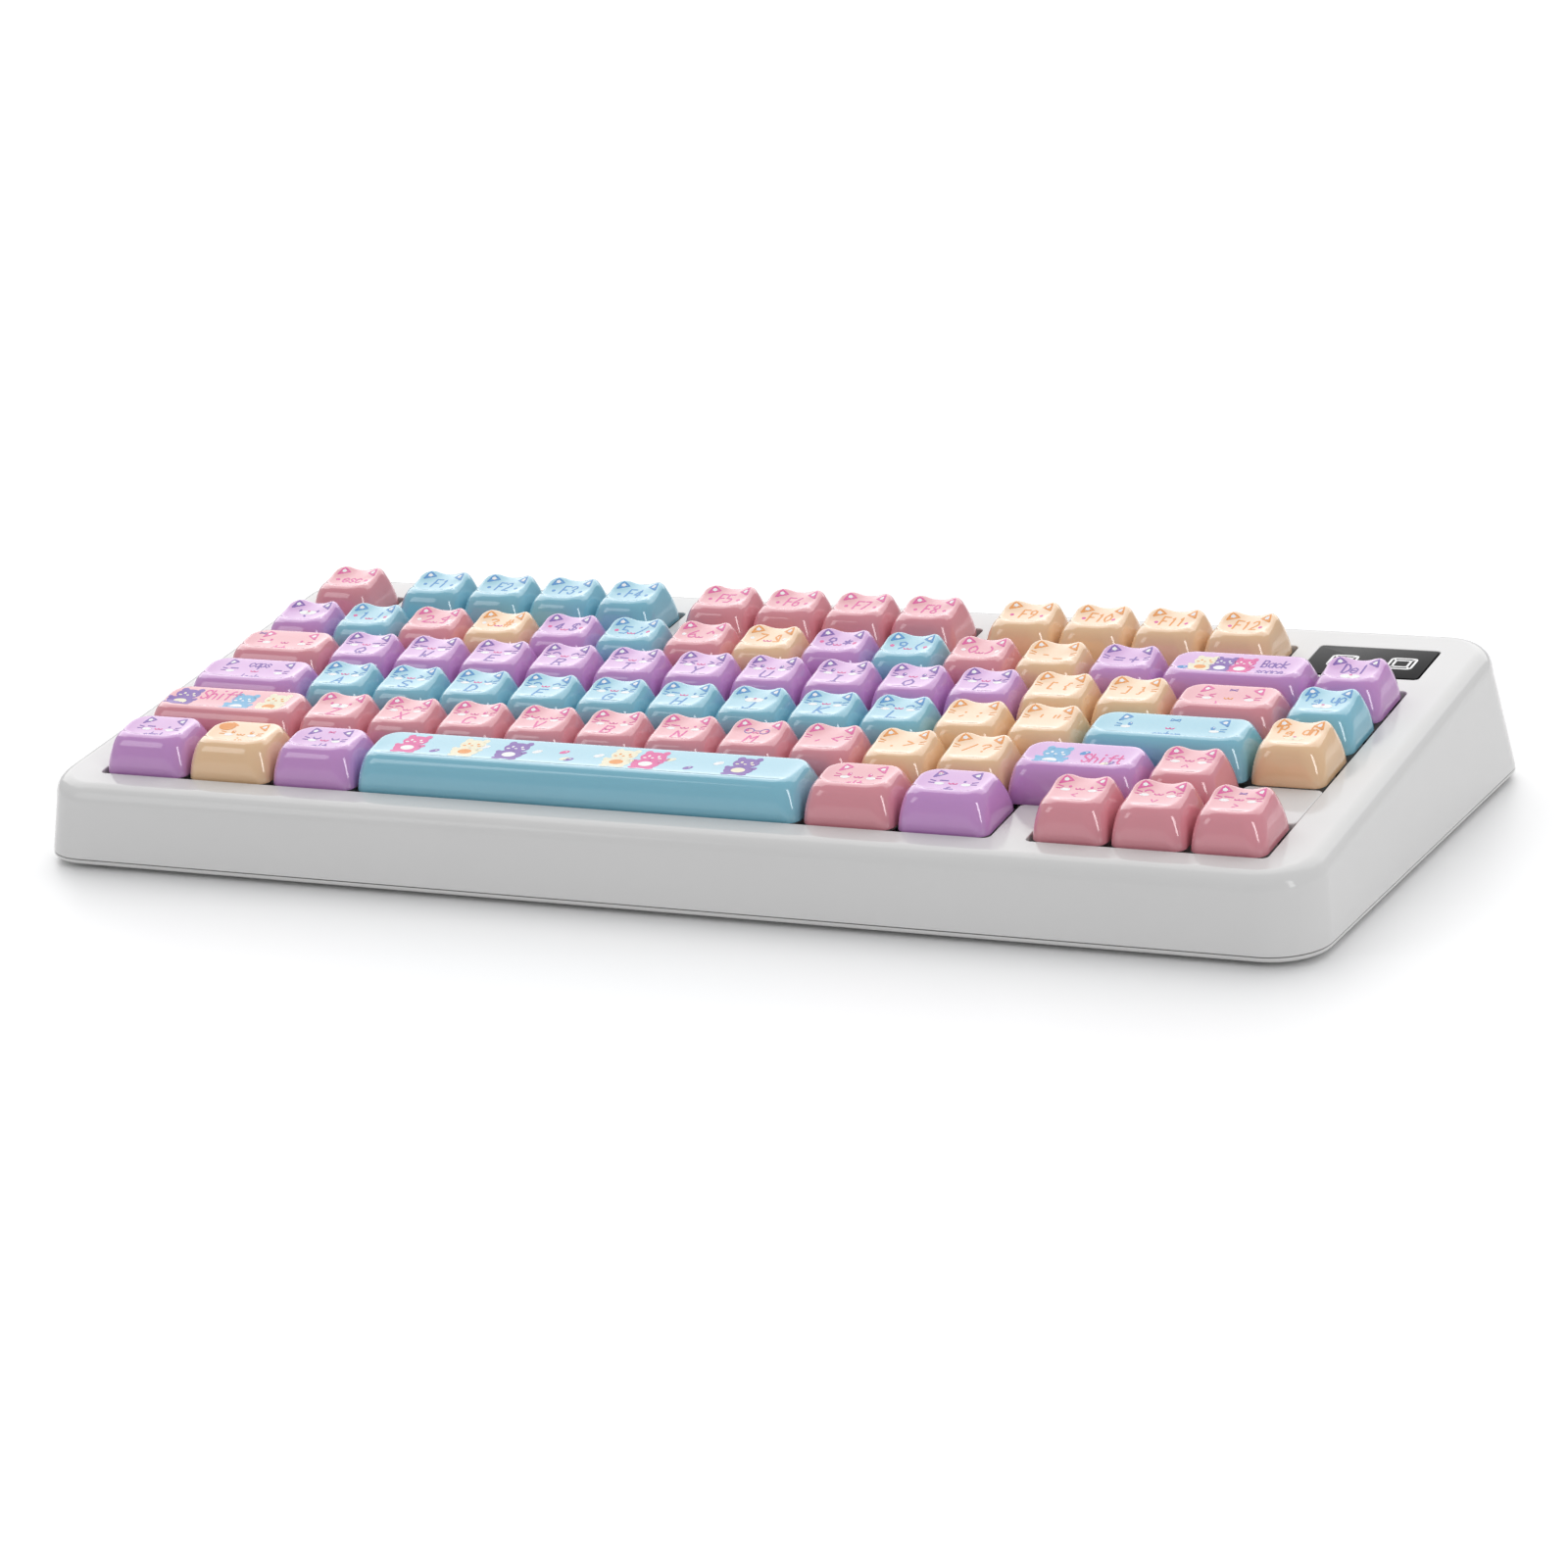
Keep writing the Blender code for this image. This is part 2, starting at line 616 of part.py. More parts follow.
def make_switches():
    """All the switch housings, joined by a thin web that lies on the plate between them."""
    web_low, web_high = -PLATE_TOP + GAP, -PLATE_TOP + GAP + SWITCH_WEB
    bm = bmesh.new()
    add_prism(bm, rectangle(-field_half, field_half, field_front, field_rear), web_low, web_high)
    switches = make_object("switch_housings", bm, parts, "switch_black", key_plane)
    body = SWITCH_CUTOUT - 2 * GAP
    well = POST_WIDTH + 2 * SWITCH_WELL_GAP
    bm = bmesh.new()
    for x, y, _ in keys.values():
        profile = ((body, -board_top + GAP), (body, web_low + SWITCH_WEB * SWITCH_WEB_BITE),
                   (SWITCH_HEAD_BASE, web_low + SWITCH_WEB * SWITCH_WEB_RISE), (SWITCH_HEAD_TOP, -SWITCH_TOP),
                   (well, -SWITCH_TOP), (well, -SWITCH_TOP - TRAVEL - 2 * GAP))
        rings = [square_ring(bm, x, y, width, z) for width, z in profile]
        for lower, upper in zip(rings, rings[1:]):
            skin(bm, lower, upper)
        bm.faces.new(rings[0])
        bm.faces.new(rings[-1])
    combine(switches, make_object("switch_bodies", bm, helpers, None, key_plane), "UNION")


# Keycaps


def add_cap(bm, x, y, units):
    """A hollow cap, open underneath, with the post that takes the switch stem. One-unit caps have ears."""
    eared = units == 1
    half_x = (units * PITCH - CAP_GAP) / 2
    half_y = (PITCH - CAP_GAP) / 2
    top_x = half_x - CAP_TAPER_SIDE
    top_front, top_rear = half_y - CAP_TAPER_FRONT, half_y - CAP_TAPER_REAR
    flank_y = top_rear - EAR_WIDTH
    ear_x = max(top_x - EAR_WIDTH, top_x * MIDDLE_SHARE)
    peak = EAR_HEIGHT if eared else CAP_REAR_HEIGHT
    corner = CAP_CORNER

    def ring(side, front, rear, low, flank, high, edge):
        half = [(side - corner, -front, low), (side, corner - front, low), (side, flank_y, flank),
                (side - EAR_TIP_INSET, rear - EAR_TIP_INSET, high), (min(ear_x, side), rear, edge)]
        other = [(-px, py, pz) for px, py, pz in reversed(half)]
        return add_ring(bm, [(x + px, y + py, CAP_RIM + pz) for px, py, pz in half + other])

    base = ring(half_x, half_y, half_y, 0, 0, 0, 0)
    crown = ring(top_x, top_front, top_rear, CAP_FRONT_HEIGHT, CAP_REAR_HEIGHT, peak, CAP_REAR_HEIGHT)
    skin(bm, base, crown)
    bm.faces.new((crown[0], crown[1], crown[8], crown[9]))
    bm.faces.new((crown[1], crown[2], crown[7], crown[8]))
    bm.faces.new((crown[2], crown[4], crown[5], crown[7]))
    bm.faces.new((crown[2], crown[3], crown[4]))
    bm.faces.new((crown[5], crown[6], crown[7]))

    def inner_ring(side, front, rear, z):
        outline = rectangle(x - side, x + side, y - front, y + rear)
        return add_ring(bm, [(px, py, CAP_RIM + z) for px, py in outline])

    ceiling = CAP_FRONT_HEIGHT - CAP_WALL
    post = POST_WIDTH / 2
    rings = [inner_ring(half_x - CAP_WALL, half_y - CAP_WALL, half_y - CAP_WALL, 0),
             inner_ring(top_x - CAP_WALL, top_front - CAP_WALL, top_rear - CAP_WALL, ceiling),
             inner_ring(post, post, post, ceiling),
             inner_ring(post, post, post, ceiling - POST_DEPTH)]
    skin(bm, base, rings[0])
    for lower, upper in zip(rings, rings[1:]):
        skin(bm, lower, upper)
    bm.faces.new(rings[-1])


def cap_finish(name):
    for names, finish in ((PINK, "cap_pink"), (BLUE, "cap_blue"), (CREAM, "cap_cream")):
        if name in names:
            return finish
    return "cap_purple"


def group_tabs(members):
    """Bridges between neighbours of a group, low down in the gap between their caps."""
    bm = bmesh.new()
    reach = CAP_GAP / 2 + CAP_WALL * GROUP_TAB_BITE
    low = CAP_RIM + GROUP_TAB_HEIGHT
    for first, second in zip(members, members[1:]):
        (x0, y0, units), (x1, y1, _) = keys[first], keys[second]
        half = (reach, GROUP_TAB_WIDTH / 2) if y0 == y1 else (GROUP_TAB_WIDTH / 2, reach)
        x = x0 + units * PITCH / 2 if y0 == y1 else x0
        y = y0 if y0 == y1 else (y0 + y1) / 2
        add_block(bm, (x - half[0], y - half[1], low),
                  (x + half[0], y + half[1], low + GROUP_TAB_THICKNESS))
    return bm


def wire_half_span():
    """How far each arm of the stabiliser wire stands from the space bar's middle."""
    return (keys["space"][2] * PITCH - CAP_GAP) / 2 - WIRE_END_INSET


def make_keys():
    grouped = {key for members in KEY_GROUPS.values() for key in members}
    for name, (x, y, units) in keys.items():
        if name in grouped:
            continue
        bm = bmesh.new()
        add_cap(bm, 0, 0, units)
        cap = make_object(f"key_{name}", bm, parts, cap_finish(name), key_plane, (x, y, 0))
        if name == "space":
            bm = bmesh.new()
            ceiling = CAP_RIM + CAP_FRONT_HEIGHT - CAP_WALL
            foot_y = WIRE_BAR_Y + WIRE_ARM
            half = WIRE_POST_HALF
            for post_x in (-wire_half_span(), wire_half_span()):
                add_block(bm, (post_x - half, foot_y - half, CAP_RIM),
                          (post_x + half, foot_y + half, ceiling + CAP_WALL / 2))
            combine(cap, make_object("space_side_posts", bm, helpers, None, key_plane, (x, y, 0)), "UNION")
    for name, members in KEY_GROUPS.items():
        bm = bmesh.new()
        for key in members:
            add_cap(bm, *keys[key])
        caps = make_object(name, bm, parts, cap_finish(members[-1]), key_plane)
        tabs = make_object(f"tabs_{name}", group_tabs(members), helpers, None, key_plane)
        combine(caps, tabs, "UNION")


def make_stabiliser():
    """The wire that keeps the space bar level: a bar along X whose two arms rise to the cap's side posts."""
    rise = TRAVEL
    run = (WIRE_ARM ** 2 - rise ** 2) ** 0.5
    curve = bpy.data.curves.new("space_stabiliser", "CURVE")
    curve.dimensions = "3D"
    curve.bevel_depth = WIRE_RADIUS
    curve.bevel_resolution = 1
    curve.use_fill_caps = True
    curve.materials.append(finish_material("steel"))
    half = wire_half_span()
    path = [(-half, run, rise), (-half, 0, 0), (half, 0, 0), (half, run, rise)]
    spline = curve.splines.new("POLY")
    spline.points.add(len(path) - 1)
    for point, place in zip(spline.points, path):
        point.co = (*place, 1)
    wire = bpy.data.objects.new("space_stabiliser", curve)
    parts.objects.link(wire)
    wire.parent = key_plane
    wire.location = (keys["space"][0], keys["space"][1] + WIRE_BAR_Y, -WIRE_BAR_DEPTH)


# Small pieces on the deck and the rear wall


def make_badge():
    bm = bmesh.new()
    add_prism(bm, badge_outline(0), BADGE_PROUD - BADGE_SIZE[2], BADGE_PROUD)
    make_object("badge_plate", bm, parts, "badge_black", key_plane)


def make_insert():
    """The blank that closes the unused place beside the up-arrow key. It stands on four legs."""
    left, right = field_x(15) + INSERT_SIDE_GAP, field_x(16) + OPENING_CLEARANCE - GAP
    front, rear = PITCH / 2 + INSERT_ROW_GAP, 1.5 * PITCH - INSERT_ROW_GAP
    bm = bmesh.new()
    add_prism(bm, rounded(rectangle(left, right, front, rear), OPENING_CORNER, 2),
              -INSERT_SINK - CASE_WALL, -INSERT_SINK)
    insert = make_object("blank_insert", bm, parts, "case_white", key_plane)
    bm = bmesh.new()
    foot = -PLATE_TOP + 2 * GAP + SWITCH_WEB
    for x in (left + INSERT_LEG_INSET, right - INSERT_LEG_INSET):
        for y in (front + INSERT_LEG_INSET, rear - INSERT_LEG_INSET):
            add_drum(bm, (x, y, 0), INSERT_LEG_RADIUS, foot, -INSERT_SINK - CASE_WALL / 2, sides=8)
    combine(insert, make_object("insert_legs", bm, helpers, None, key_plane), "UNION")


def rear_wall_inside(height):
    """The Y of the rear wall's inner face at a height."""
    shoulder = deck_z(CASE_DEPTH / 2 - SHOULDER_REAR) - CASE_FILLET
    slope = SHOULDER_REAR / (shoulder - SEAM_HEIGHT)
    return CASE_DEPTH / 2 - slope * (height - SEAM_HEIGHT) - CASE_WALL * (1 + slope ** 2) ** 0.5


def usb_board_z():
    return USB_HEIGHT - USB_SHELL[2] / 2 - USB_BOARD[2]


def usb_board_centre_y():
    return rear_wall_inside(USB_HEIGHT) - 2 * GAP - USB_BOARD[1] / 2


def make_usb_board():
    """A small board on two posts, with the socket's steel shell at its rear edge."""
    width, length, tall = USB_SHELL
    face = rear_wall_inside(USB_HEIGHT) - GAP
    bm = bmesh.new()
    low = usb_board_z()
    add_block(bm, (USB_X - USB_BOARD[0] / 2, face - GAP - USB_BOARD[1], low),
              (USB_X + USB_BOARD[0] / 2, face - GAP, low + USB_BOARD[2]))
    board = make_object("usb_socket", bm, parts, "steel")
    for name, shrink, back in (("usb_shell", 0, length), ("usb_slot", USB_WALL, length * USB_MOUTH_SHARE)):
        bm = bmesh.new()
        half_x, half_z = width / 2 - shrink, tall / 2 - shrink
        outline = rounded(rectangle(-half_x, half_x, -half_z, half_z), half_z * USB_CORNER_SHARE, 3)
        add_prism(bm, outline, 0 if shrink == 0 else -GAP, back)
        turn = Matrix.Translation((USB_X, face, USB_HEIGHT - USB_SUNK)) @ Matrix.Rotation(radians(90), 4, "X")
        bmesh.ops.transform(bm, matrix=turn, verts=bm.verts[:])
        combine(board, make_object(name, bm, helpers, None), "UNION" if shrink == 0 else "DIFFERENCE")


def make_mode_switch():
    """The sliding power switch: a back plate behind the wall and a nub through the slot."""
    inner = rear_wall_inside(MODE_HEIGHT + MODE_BACK[2] / 2) - GAP
    width, tall = MODE_NUB
    bm = bmesh.new()
    add_block(bm, (-MODE_BACK[0] / 2, inner - MODE_BACK[1], -MODE_BACK[2] / 2),
              (MODE_BACK[0] / 2, inner, MODE_BACK[2] / 2))
    knob = make_object("mode_switch", bm, parts, "switch_black", None, (MODE_X, 0, MODE_HEIGHT))
    bm = bmesh.new()
    tip = rear_wall_inside(MODE_HEIGHT) + CASE_WALL + MODE_NUB_PROUD
    add_block(bm, (-width / 2, inner - MODE_BACK[1] / 2, -tall / 2), (width / 2, tip, tall / 2))
    nub = make_object("mode_nub", bm, helpers, None, None, (MODE_X, 0, MODE_HEIGHT))
    combine(knob, nub, "UNION")


# What the keyboard stands on, and its battery


def make_flip_foot(name, side):
    """A folding foot, flat in its pocket, with a round hinge end and a stub pin at each side."""
    width, length, thick = FOOT_SIZE
    bm = bmesh.new()
    profile = [(-length, -thick / 2), (0, -thick / 2)]
    profile += [(thick / 2 * sin(a), -thick / 2 * cos(a)) for a in (pi / 4, pi / 2, 3 * pi / 4)]
    profile += [(0, thick / 2), (-length, thick / 2)]
    ends = [add_ring(bm, [(x, y, z) for y, z in profile]) for x in (-width / 2, width / 2)]
    skin(bm, *ends)
    bm.faces.new(ends[0])
    bm.faces.new(ends[1])
    place = (side * FOOT_X, FOOT_HINGE_Y, foot_hinge_z())
    foot = make_object(name, bm, parts, "case_white", None, place)
    bm = bmesh.new()
    reach = width / 2 + HINGE_PIN_LENGTH
    add_drum(bm, (0, 0, 0), HINGE_PIN_RADIUS, -reach, reach, "X", sides=8)
    combine(foot, make_object(f"{name}_pin", bm, helpers, None, None, place), "UNION")


def make_rubber_feet():
    """Four pads pushed through the floor from inside, joined there by the strip they are moulded on."""
    low = floor_top + GAP
    width, thick = RUNNER
    bm = bmesh.new()
    half = width / 2
    add_block(bm, (-PAD_X - half, -PAD_Y - half, low), (PAD_X + half, -PAD_Y + half, low + thick))
    feet = make_object("rubber_feet", bm, parts, "rubber_grey")
    for name, side in (("left", -1), ("right", 1)):
        bm = bmesh.new()
        add_block(bm, (side * PAD_X - half, -PAD_Y - half, low), (side * PAD_X + half, PAD_Y + half, low + thick))
        combine(feet, make_object(f"runner_{name}", bm, helpers, None), "UNION")
    for layer, radius, z0, z1 in (("stems", PAD_STEM_RADIUS, PAD_STEM_FOOT, low + thick / 2),
                                  ("pads", PAD_RADIUS, 0, FLOOR_UNDERSIDE - GAP)):
        bm = bmesh.new()
        for x in (-PAD_X, PAD_X):
            for y in (-PAD_Y, PAD_Y):
                add_drum(bm, (x, y, 0), radius, z0, z1)
        combine(feet, make_object(f"pad_{layer}", bm, helpers, None), "UNION")


def make_battery():
    width, length, thick = BATTERY_SIZE
    x, y = BATTERY_CENTRE
    bm = bmesh.new()
    outline = rounded(rectangle(x - width / 2, x + width / 2, y - length / 2, y + length / 2), BATTERY_CORNER, 3)
    add_prism(bm, outline, floor_top + GAP, floor_top + GAP + thick)
    battery = make_object("battery", bm, parts, "battery_silver")
    edge = battery.modifiers.new("edge", "BEVEL")
    edge.width = BATTERY_EDGE
    edge.segments = 1
    edge.limit_method = "ANGLE"


make_top_case()
make_bottom_case()
make_plate()
make_board()
make_switches()
make_keys()
make_stabiliser()
make_badge()
make_insert()
make_usb_board()
make_mode_switch()
make_flip_foot("flip_foot_left", -1)
make_flip_foot("flip_foot_right", 1)
make_rubber_feet()
make_battery()
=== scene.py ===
import json
from math import cos, pi, radians, sin, tan

import bmesh
import bpy
from mathutils import Matrix, Quaternion, Vector

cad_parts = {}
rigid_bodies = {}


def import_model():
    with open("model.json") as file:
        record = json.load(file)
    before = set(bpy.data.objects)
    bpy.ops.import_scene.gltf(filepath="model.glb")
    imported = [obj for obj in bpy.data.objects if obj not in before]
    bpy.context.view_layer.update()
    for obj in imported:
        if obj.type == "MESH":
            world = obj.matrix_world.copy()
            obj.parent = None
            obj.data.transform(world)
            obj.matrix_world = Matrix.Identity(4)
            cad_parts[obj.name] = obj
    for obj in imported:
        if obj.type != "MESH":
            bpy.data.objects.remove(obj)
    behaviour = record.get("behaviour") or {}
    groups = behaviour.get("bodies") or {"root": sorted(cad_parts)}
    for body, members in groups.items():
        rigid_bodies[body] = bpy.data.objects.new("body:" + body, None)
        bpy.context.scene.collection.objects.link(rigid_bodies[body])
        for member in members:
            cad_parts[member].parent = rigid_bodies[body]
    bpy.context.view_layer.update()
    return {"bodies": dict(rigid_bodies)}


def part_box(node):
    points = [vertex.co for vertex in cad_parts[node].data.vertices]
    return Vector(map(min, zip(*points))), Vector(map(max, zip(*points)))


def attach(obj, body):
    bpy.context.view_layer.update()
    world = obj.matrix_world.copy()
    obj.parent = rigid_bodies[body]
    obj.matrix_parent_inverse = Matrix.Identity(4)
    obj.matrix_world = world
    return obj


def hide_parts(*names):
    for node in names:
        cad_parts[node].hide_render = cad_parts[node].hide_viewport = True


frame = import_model()
bodies = frame["bodies"]

# The studio: a wide pale floor, a white surround, a canopy and two soft boxes, with the camera in front of
# the keyboard's right half and a little above it. The camera is rolled a few degrees, so that the rows run
# down to the right.
CAMERA_PLACE = Vector((0.5364, -1.0332, 0.3693))
CAMERA_TARGET = Vector((0.0026, 0.0, 0.0084))
CAMERA_ROLL = radians(-4.70)
CAMERA_LENS = 114.63
SURROUND_STRENGTH = 0.50
FLOOR_SIZE = 24.0
SOFT_BOXES = (
    # name, place, aimed at, width, depth, watts, colour
    ("canopy", (-0.9, 2.4, 2.6), (0.0, 0.0, 0.0), 7.0, 4.6, 152.0, (1.0, 0.995, 0.99)),
    ("right_front", (1.25, -0.75, 0.75), (0.0, 0.0, 0.02), 0.25, 1.0, 4.5, (1.0, 1.0, 1.0)),
    ("left_front", (-1.1, -1.0, 0.9), (0.0, 0.0, 0.02), 0.7, 0.7, 2.5, (1.0, 1.0, 1.0)),
)


def aimed(place, target, roll=0.0):
    """A turn that points -Z from a place to a target, keeps Y up, and then rolls about the line of sight."""
    turn = (Vector(target) - Vector(place)).to_track_quat("-Z", "Y")
    return turn @ Quaternion((0, 0, 1), roll)


def link(obj):
    """Puts a new object in the scene."""
    bpy.context.scene.collection.objects.link(obj)
    return obj


camera = link(bpy.data.objects.new("camera", bpy.data.cameras.new("camera")))
camera.location = CAMERA_PLACE
camera.rotation_mode = "QUATERNION"
camera.rotation_quaternion = aimed(CAMERA_PLACE, CAMERA_TARGET, CAMERA_ROLL)
camera.data.lens = CAMERA_LENS
camera.data.sensor_width = 36
camera.data.clip_start = 0.05
camera.data.clip_end = 60
bpy.context.scene.camera = camera

for name, place, target, width, depth, watts, colour in SOFT_BOXES:
    light = link(bpy.data.objects.new(f"soft_box_{name}", bpy.data.lights.new(name, "AREA")))
    light.data.shape = "RECTANGLE"
    light.data.size = width
    light.data.size_y = depth
    light.data.energy = watts
    light.data.color = colour
    light.location = place
    light.rotation_mode = "QUATERNION"
    light.rotation_quaternion = aimed(place, target)

world = bpy.data.worlds.new("white_surround")
world.use_nodes = True
surround = world.node_tree.nodes["Background"]
surround.inputs["Color"].default_value = (0.97, 0.98, 1.0, 1)
surround.inputs["Strength"].default_value = SURROUND_STRENGTH
bpy.context.scene.world = world
bpy.context.scene.view_settings.view_transform = "Standard"


class Wire:
    """One output of a node. Arithmetic on it adds Math nodes to its tree."""

    def __init__(self, graph, socket):
        self.graph = graph
        self.socket = socket

    def __add__(self, other):
        return self.graph.math("ADD", self, other)

    def __sub__(self, other):
        return self.graph.math("SUBTRACT", self, other)

    def __rsub__(self, other):
        return self.graph.math("SUBTRACT", other, self)

    def __mul__(self, other):
        return self.graph.math("MULTIPLY", self, other)

    def __truediv__(self, other):
        return self.graph.math("DIVIDE", self, other)

    def __rtruediv__(self, other):
        return self.graph.math("DIVIDE", other, self)

    def __pow__(self, other):
        return self.graph.math("POWER", self, other)

    def __abs__(self):
        return self.graph.math("ABSOLUTE", self)

    __radd__ = __add__
    __rmul__ = __mul__


class Graph:
    """A node tree that is written as expressions."""

    def __init__(self, tree):
        self.tree = tree
        tree.nodes.clear()

    def put(self, value, socket):
        if isinstance(value, Wire):
            self.tree.links.new(value.socket, socket)
        else:
            socket.default_value = value

    def node(self, kind, out=0, settings=None, **sockets):
        """Adds a node. A socket is named with _ for each space; in0, in1 and so on are by number."""
        made = self.tree.nodes.new(kind)
        for name, value in (settings or {}).items():
            setattr(made, name, value)
        for name, value in sockets.items():
            numbered = name.startswith("in") and name[2:].isdigit()
            self.put(value, made.inputs[int(name[2:]) if numbered else name.replace("_", " ")])
        return None if out is None else Wire(self, made.outputs[out])

    def math(self, operation, *values):
        sockets = {f"in{i}": value for i, value in enumerate(values)}
        return self.node("ShaderNodeMath", settings={"operation": operation}, **sockets)

    def least(self, *values):
        return self.math("MINIMUM", *values)

    def most(self, *values):
        return self.math("MAXIMUM", *values)

    def ease(self, value, low, high, start=0.0, end=1.0):
        """Runs smoothly from start to end as value goes from low to high."""
        return self.node("ShaderNodeMapRange", settings={"interpolation_type": "SMOOTHSTEP"}, Value=value,
                         From_Min=low, From_Max=high, To_Min=start, To_Max=end)

    def mix(self, share, first, second):
        """Mixes two colours: share is a number or a wire."""
        return self.node("ShaderNodeMix", 2, {"data_type": "RGBA"}, in0=share, in6=first, in7=second)

    def apart(self, vector):
        made = self.tree.nodes.new("ShaderNodeSeparateXYZ")
        self.put(vector, made.inputs[0])
        return [Wire(self, output) for output in made.outputs]


def colour4(colour):
    return (*colour, 1)


def new_material(name):
    """A material, its graph and its Principled shader, already wired to the output."""
    material = bpy.data.materials.new(name)
    material.use_nodes = True
    graph = Graph(material.node_tree)
    shader = graph.node("ShaderNodeBsdfPrincipled")
    graph.node("ShaderNodeOutputMaterial", None, Surface=shader)
    return material, graph, shader.socket.node.inputs


def object_noise(graph, scale, detail=2.0, stretch=(1, 1, 1)):
    """Noise fixed to the piece, as a number about 0.5."""
    place = graph.node("ShaderNodeTexCoord", "Object")
    if stretch != (1, 1, 1):
        place = graph.node("ShaderNodeMapping", in0=place, Scale=stretch)
    return graph.node("ShaderNodeTexNoise", 0, Vector=place, Scale=scale, Detail=detail)


def moulded(name, colour, roughness, mottle=0.03, peel=0.02, peel_size=900.0, coat=0.0, soft=0.0, shine=0.5):
    """A moulded plastic: colour that drifts a little, gloss that varies, and a fine orange peel."""
    material, graph, shader = new_material(name)
    drift = object_noise(graph, 60.0, 3.0)
    darker = tuple(channel * (1 - 2 * mottle) for channel in colour)
    graph.put(graph.mix(drift, colour4(darker), colour4(colour)), shader["Base Color"])
    gloss = object_noise(graph, 240.0, 2.0)
    graph.put(roughness * (0.8 + 0.4 * gloss), shader["Roughness"])
    skin = object_noise(graph, peel_size, 1.0)
    bump = graph.node("ShaderNodeBump", Strength=peel, Distance=0.0002, Height=skin)
    graph.put(bump, shader["Normal"])
    shader["Specular IOR Level"].default_value = shine
    shader["Coat Weight"].default_value = coat
    shader["Coat Roughness"].default_value = 0.06
    if soft:
        shader["Subsurface Weight"].default_value = soft
        shader["Subsurface Scale"].default_value = 0.0012
        shader["Subsurface Radius"].default_value = (1.0, 0.7, 0.6)
    return material


def mesh_from(bm, name):
    """A linked object with the bmesh's faces, turned outwards."""
    bmesh.ops.recalc_face_normals(bm, faces=bm.faces[:])
    mesh = bpy.data.meshes.new(name)
    bm.to_mesh(mesh)
    bm.free()
    return link(bpy.data.objects.new(name, mesh))


def settled(obj, matrix=None, sharp=35.0):
    """Applies modifiers, moves the result within its mesh, and shades it smooth but for sharp edges."""
    graph = bpy.context.evaluated_depsgraph_get()
    graph.update()
    mesh = bpy.data.meshes.new_from_object(obj.evaluated_get(graph), depsgraph=graph)
    name = obj.name
    bpy.data.objects.remove(obj)
    mesh.name = name
    if matrix is not None:
        mesh.transform(matrix)
    if sharp is not None:
        mesh.shade_smooth()
        mesh.set_sharp_from_angle(angle=radians(sharp))
    return link(bpy.data.objects.new(name, mesh))


floor_material, graph, shader = new_material("pale_floor")
cloud = object_noise(graph, 3.0, 4.0)
graph.put(graph.mix(cloud, (0.93, 0.93, 0.93, 1), (0.97, 0.97, 0.97, 1)), shader["Base Color"])
shader["Roughness"].default_value = 0.5
shader["Coat Weight"].default_value = 1.0
shader["Coat Roughness"].default_value = 0.5
bm = bmesh.new()
bmesh.ops.create_grid(bm, x_segments=2, y_segments=2, size=FLOOR_SIZE / 2)
floor = mesh_from(bm, "floor")
floor.data.materials.append(floor_material)

# Top case: the glossy warm white shell, injection moulded in ABS in one piece. Its deck leans with the
# typing angle, a round fillet runs over its edge, and each block of keys drops through an opening of
# its own, with a soft edge where the mould closed.
PITCH = 0.01905
FIELD_UNITS = 16
TYPING_ANGLE = radians(5.9)
FUNCTION_ROW = 5.25
CASE_LOW, CASE_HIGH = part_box("top_case")
CASE_WIDTH = CASE_HIGH.x - CASE_LOW.x
CASE_DEPTH = CASE_HIGH.y - CASE_LOW.y
CASE_CORNER = 0.0130
CASE_WALL = 0.0025
CASE_FILLET = 0.0045
SHOULDER_CORNER = 0.0140
SHOULDER_FRONT = 0.0020
SHOULDER_REAR = 0.0073
SIDE_LEAN = radians(4.2)
SEAM_HEIGHT = 0.0026
SEAM_GAP = 0.0003
SKIRT_HEIGHT = 0.0006
DECK_HEIGHT = 0.0214
FRONT_MARGIN = 0.0124
OPENING_CLEARANCE = 0.00035
OPENING_CORNER = 0.0015
OPENING_EDGE = 0.0003
BADGE_LOW, BADGE_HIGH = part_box("badge_plate")
CORNER_STEPS = 20
FILLET_STEPS = 10

case_white = moulded("case_white", (0.70, 0.695, 0.688), 0.10, mottle=0.012, peel=0.035, shine=0.3)

deck_origin = Vector((0, -CASE_DEPTH / 2 + FRONT_MARGIN + PITCH / 2 * cos(TYPING_ANGLE), 0))
deck_origin.z = DECK_HEIGHT + PITCH / 2 * sin(TYPING_ANGLE)
on_deck = Matrix.Translation(deck_origin) @ Matrix.Rotation(TYPING_ANGLE, 4, "X")
deck_up = on_deck.to_3x3() @ Vector((0, 0, 1))


def deck_z(y):
    """How high the deck is at a distance behind the middle."""
    return deck_origin.z + (y - deck_origin.y) * tan(TYPING_ANGLE)


def field_x(units):
    """Where a place along a row of keys is, from a count of key units."""
    return (units - FIELD_UNITS / 2) * PITCH


def rounded(corners, radius, steps):
    """An outline of right-angled corners, inner or outer, with each one rounded by an arc."""
    points = []
    for i, corner in enumerate(corners):
        here = Vector(corner)
        back = (Vector(corners[i - 1]) - here).normalized()
        ahead = (Vector(corners[(i + 1) % len(corners)]) - here).normalized()
        centre = here + (back + ahead) * radius
        for step in range(steps + 1):
            angle = step / steps * pi / 2
            points.append(centre - ahead * radius * cos(angle) - back * radius * sin(angle))
    return points


def rectangle(left, right, front, rear):
    return [(left, front), (right, front), (right, rear), (left, rear)]


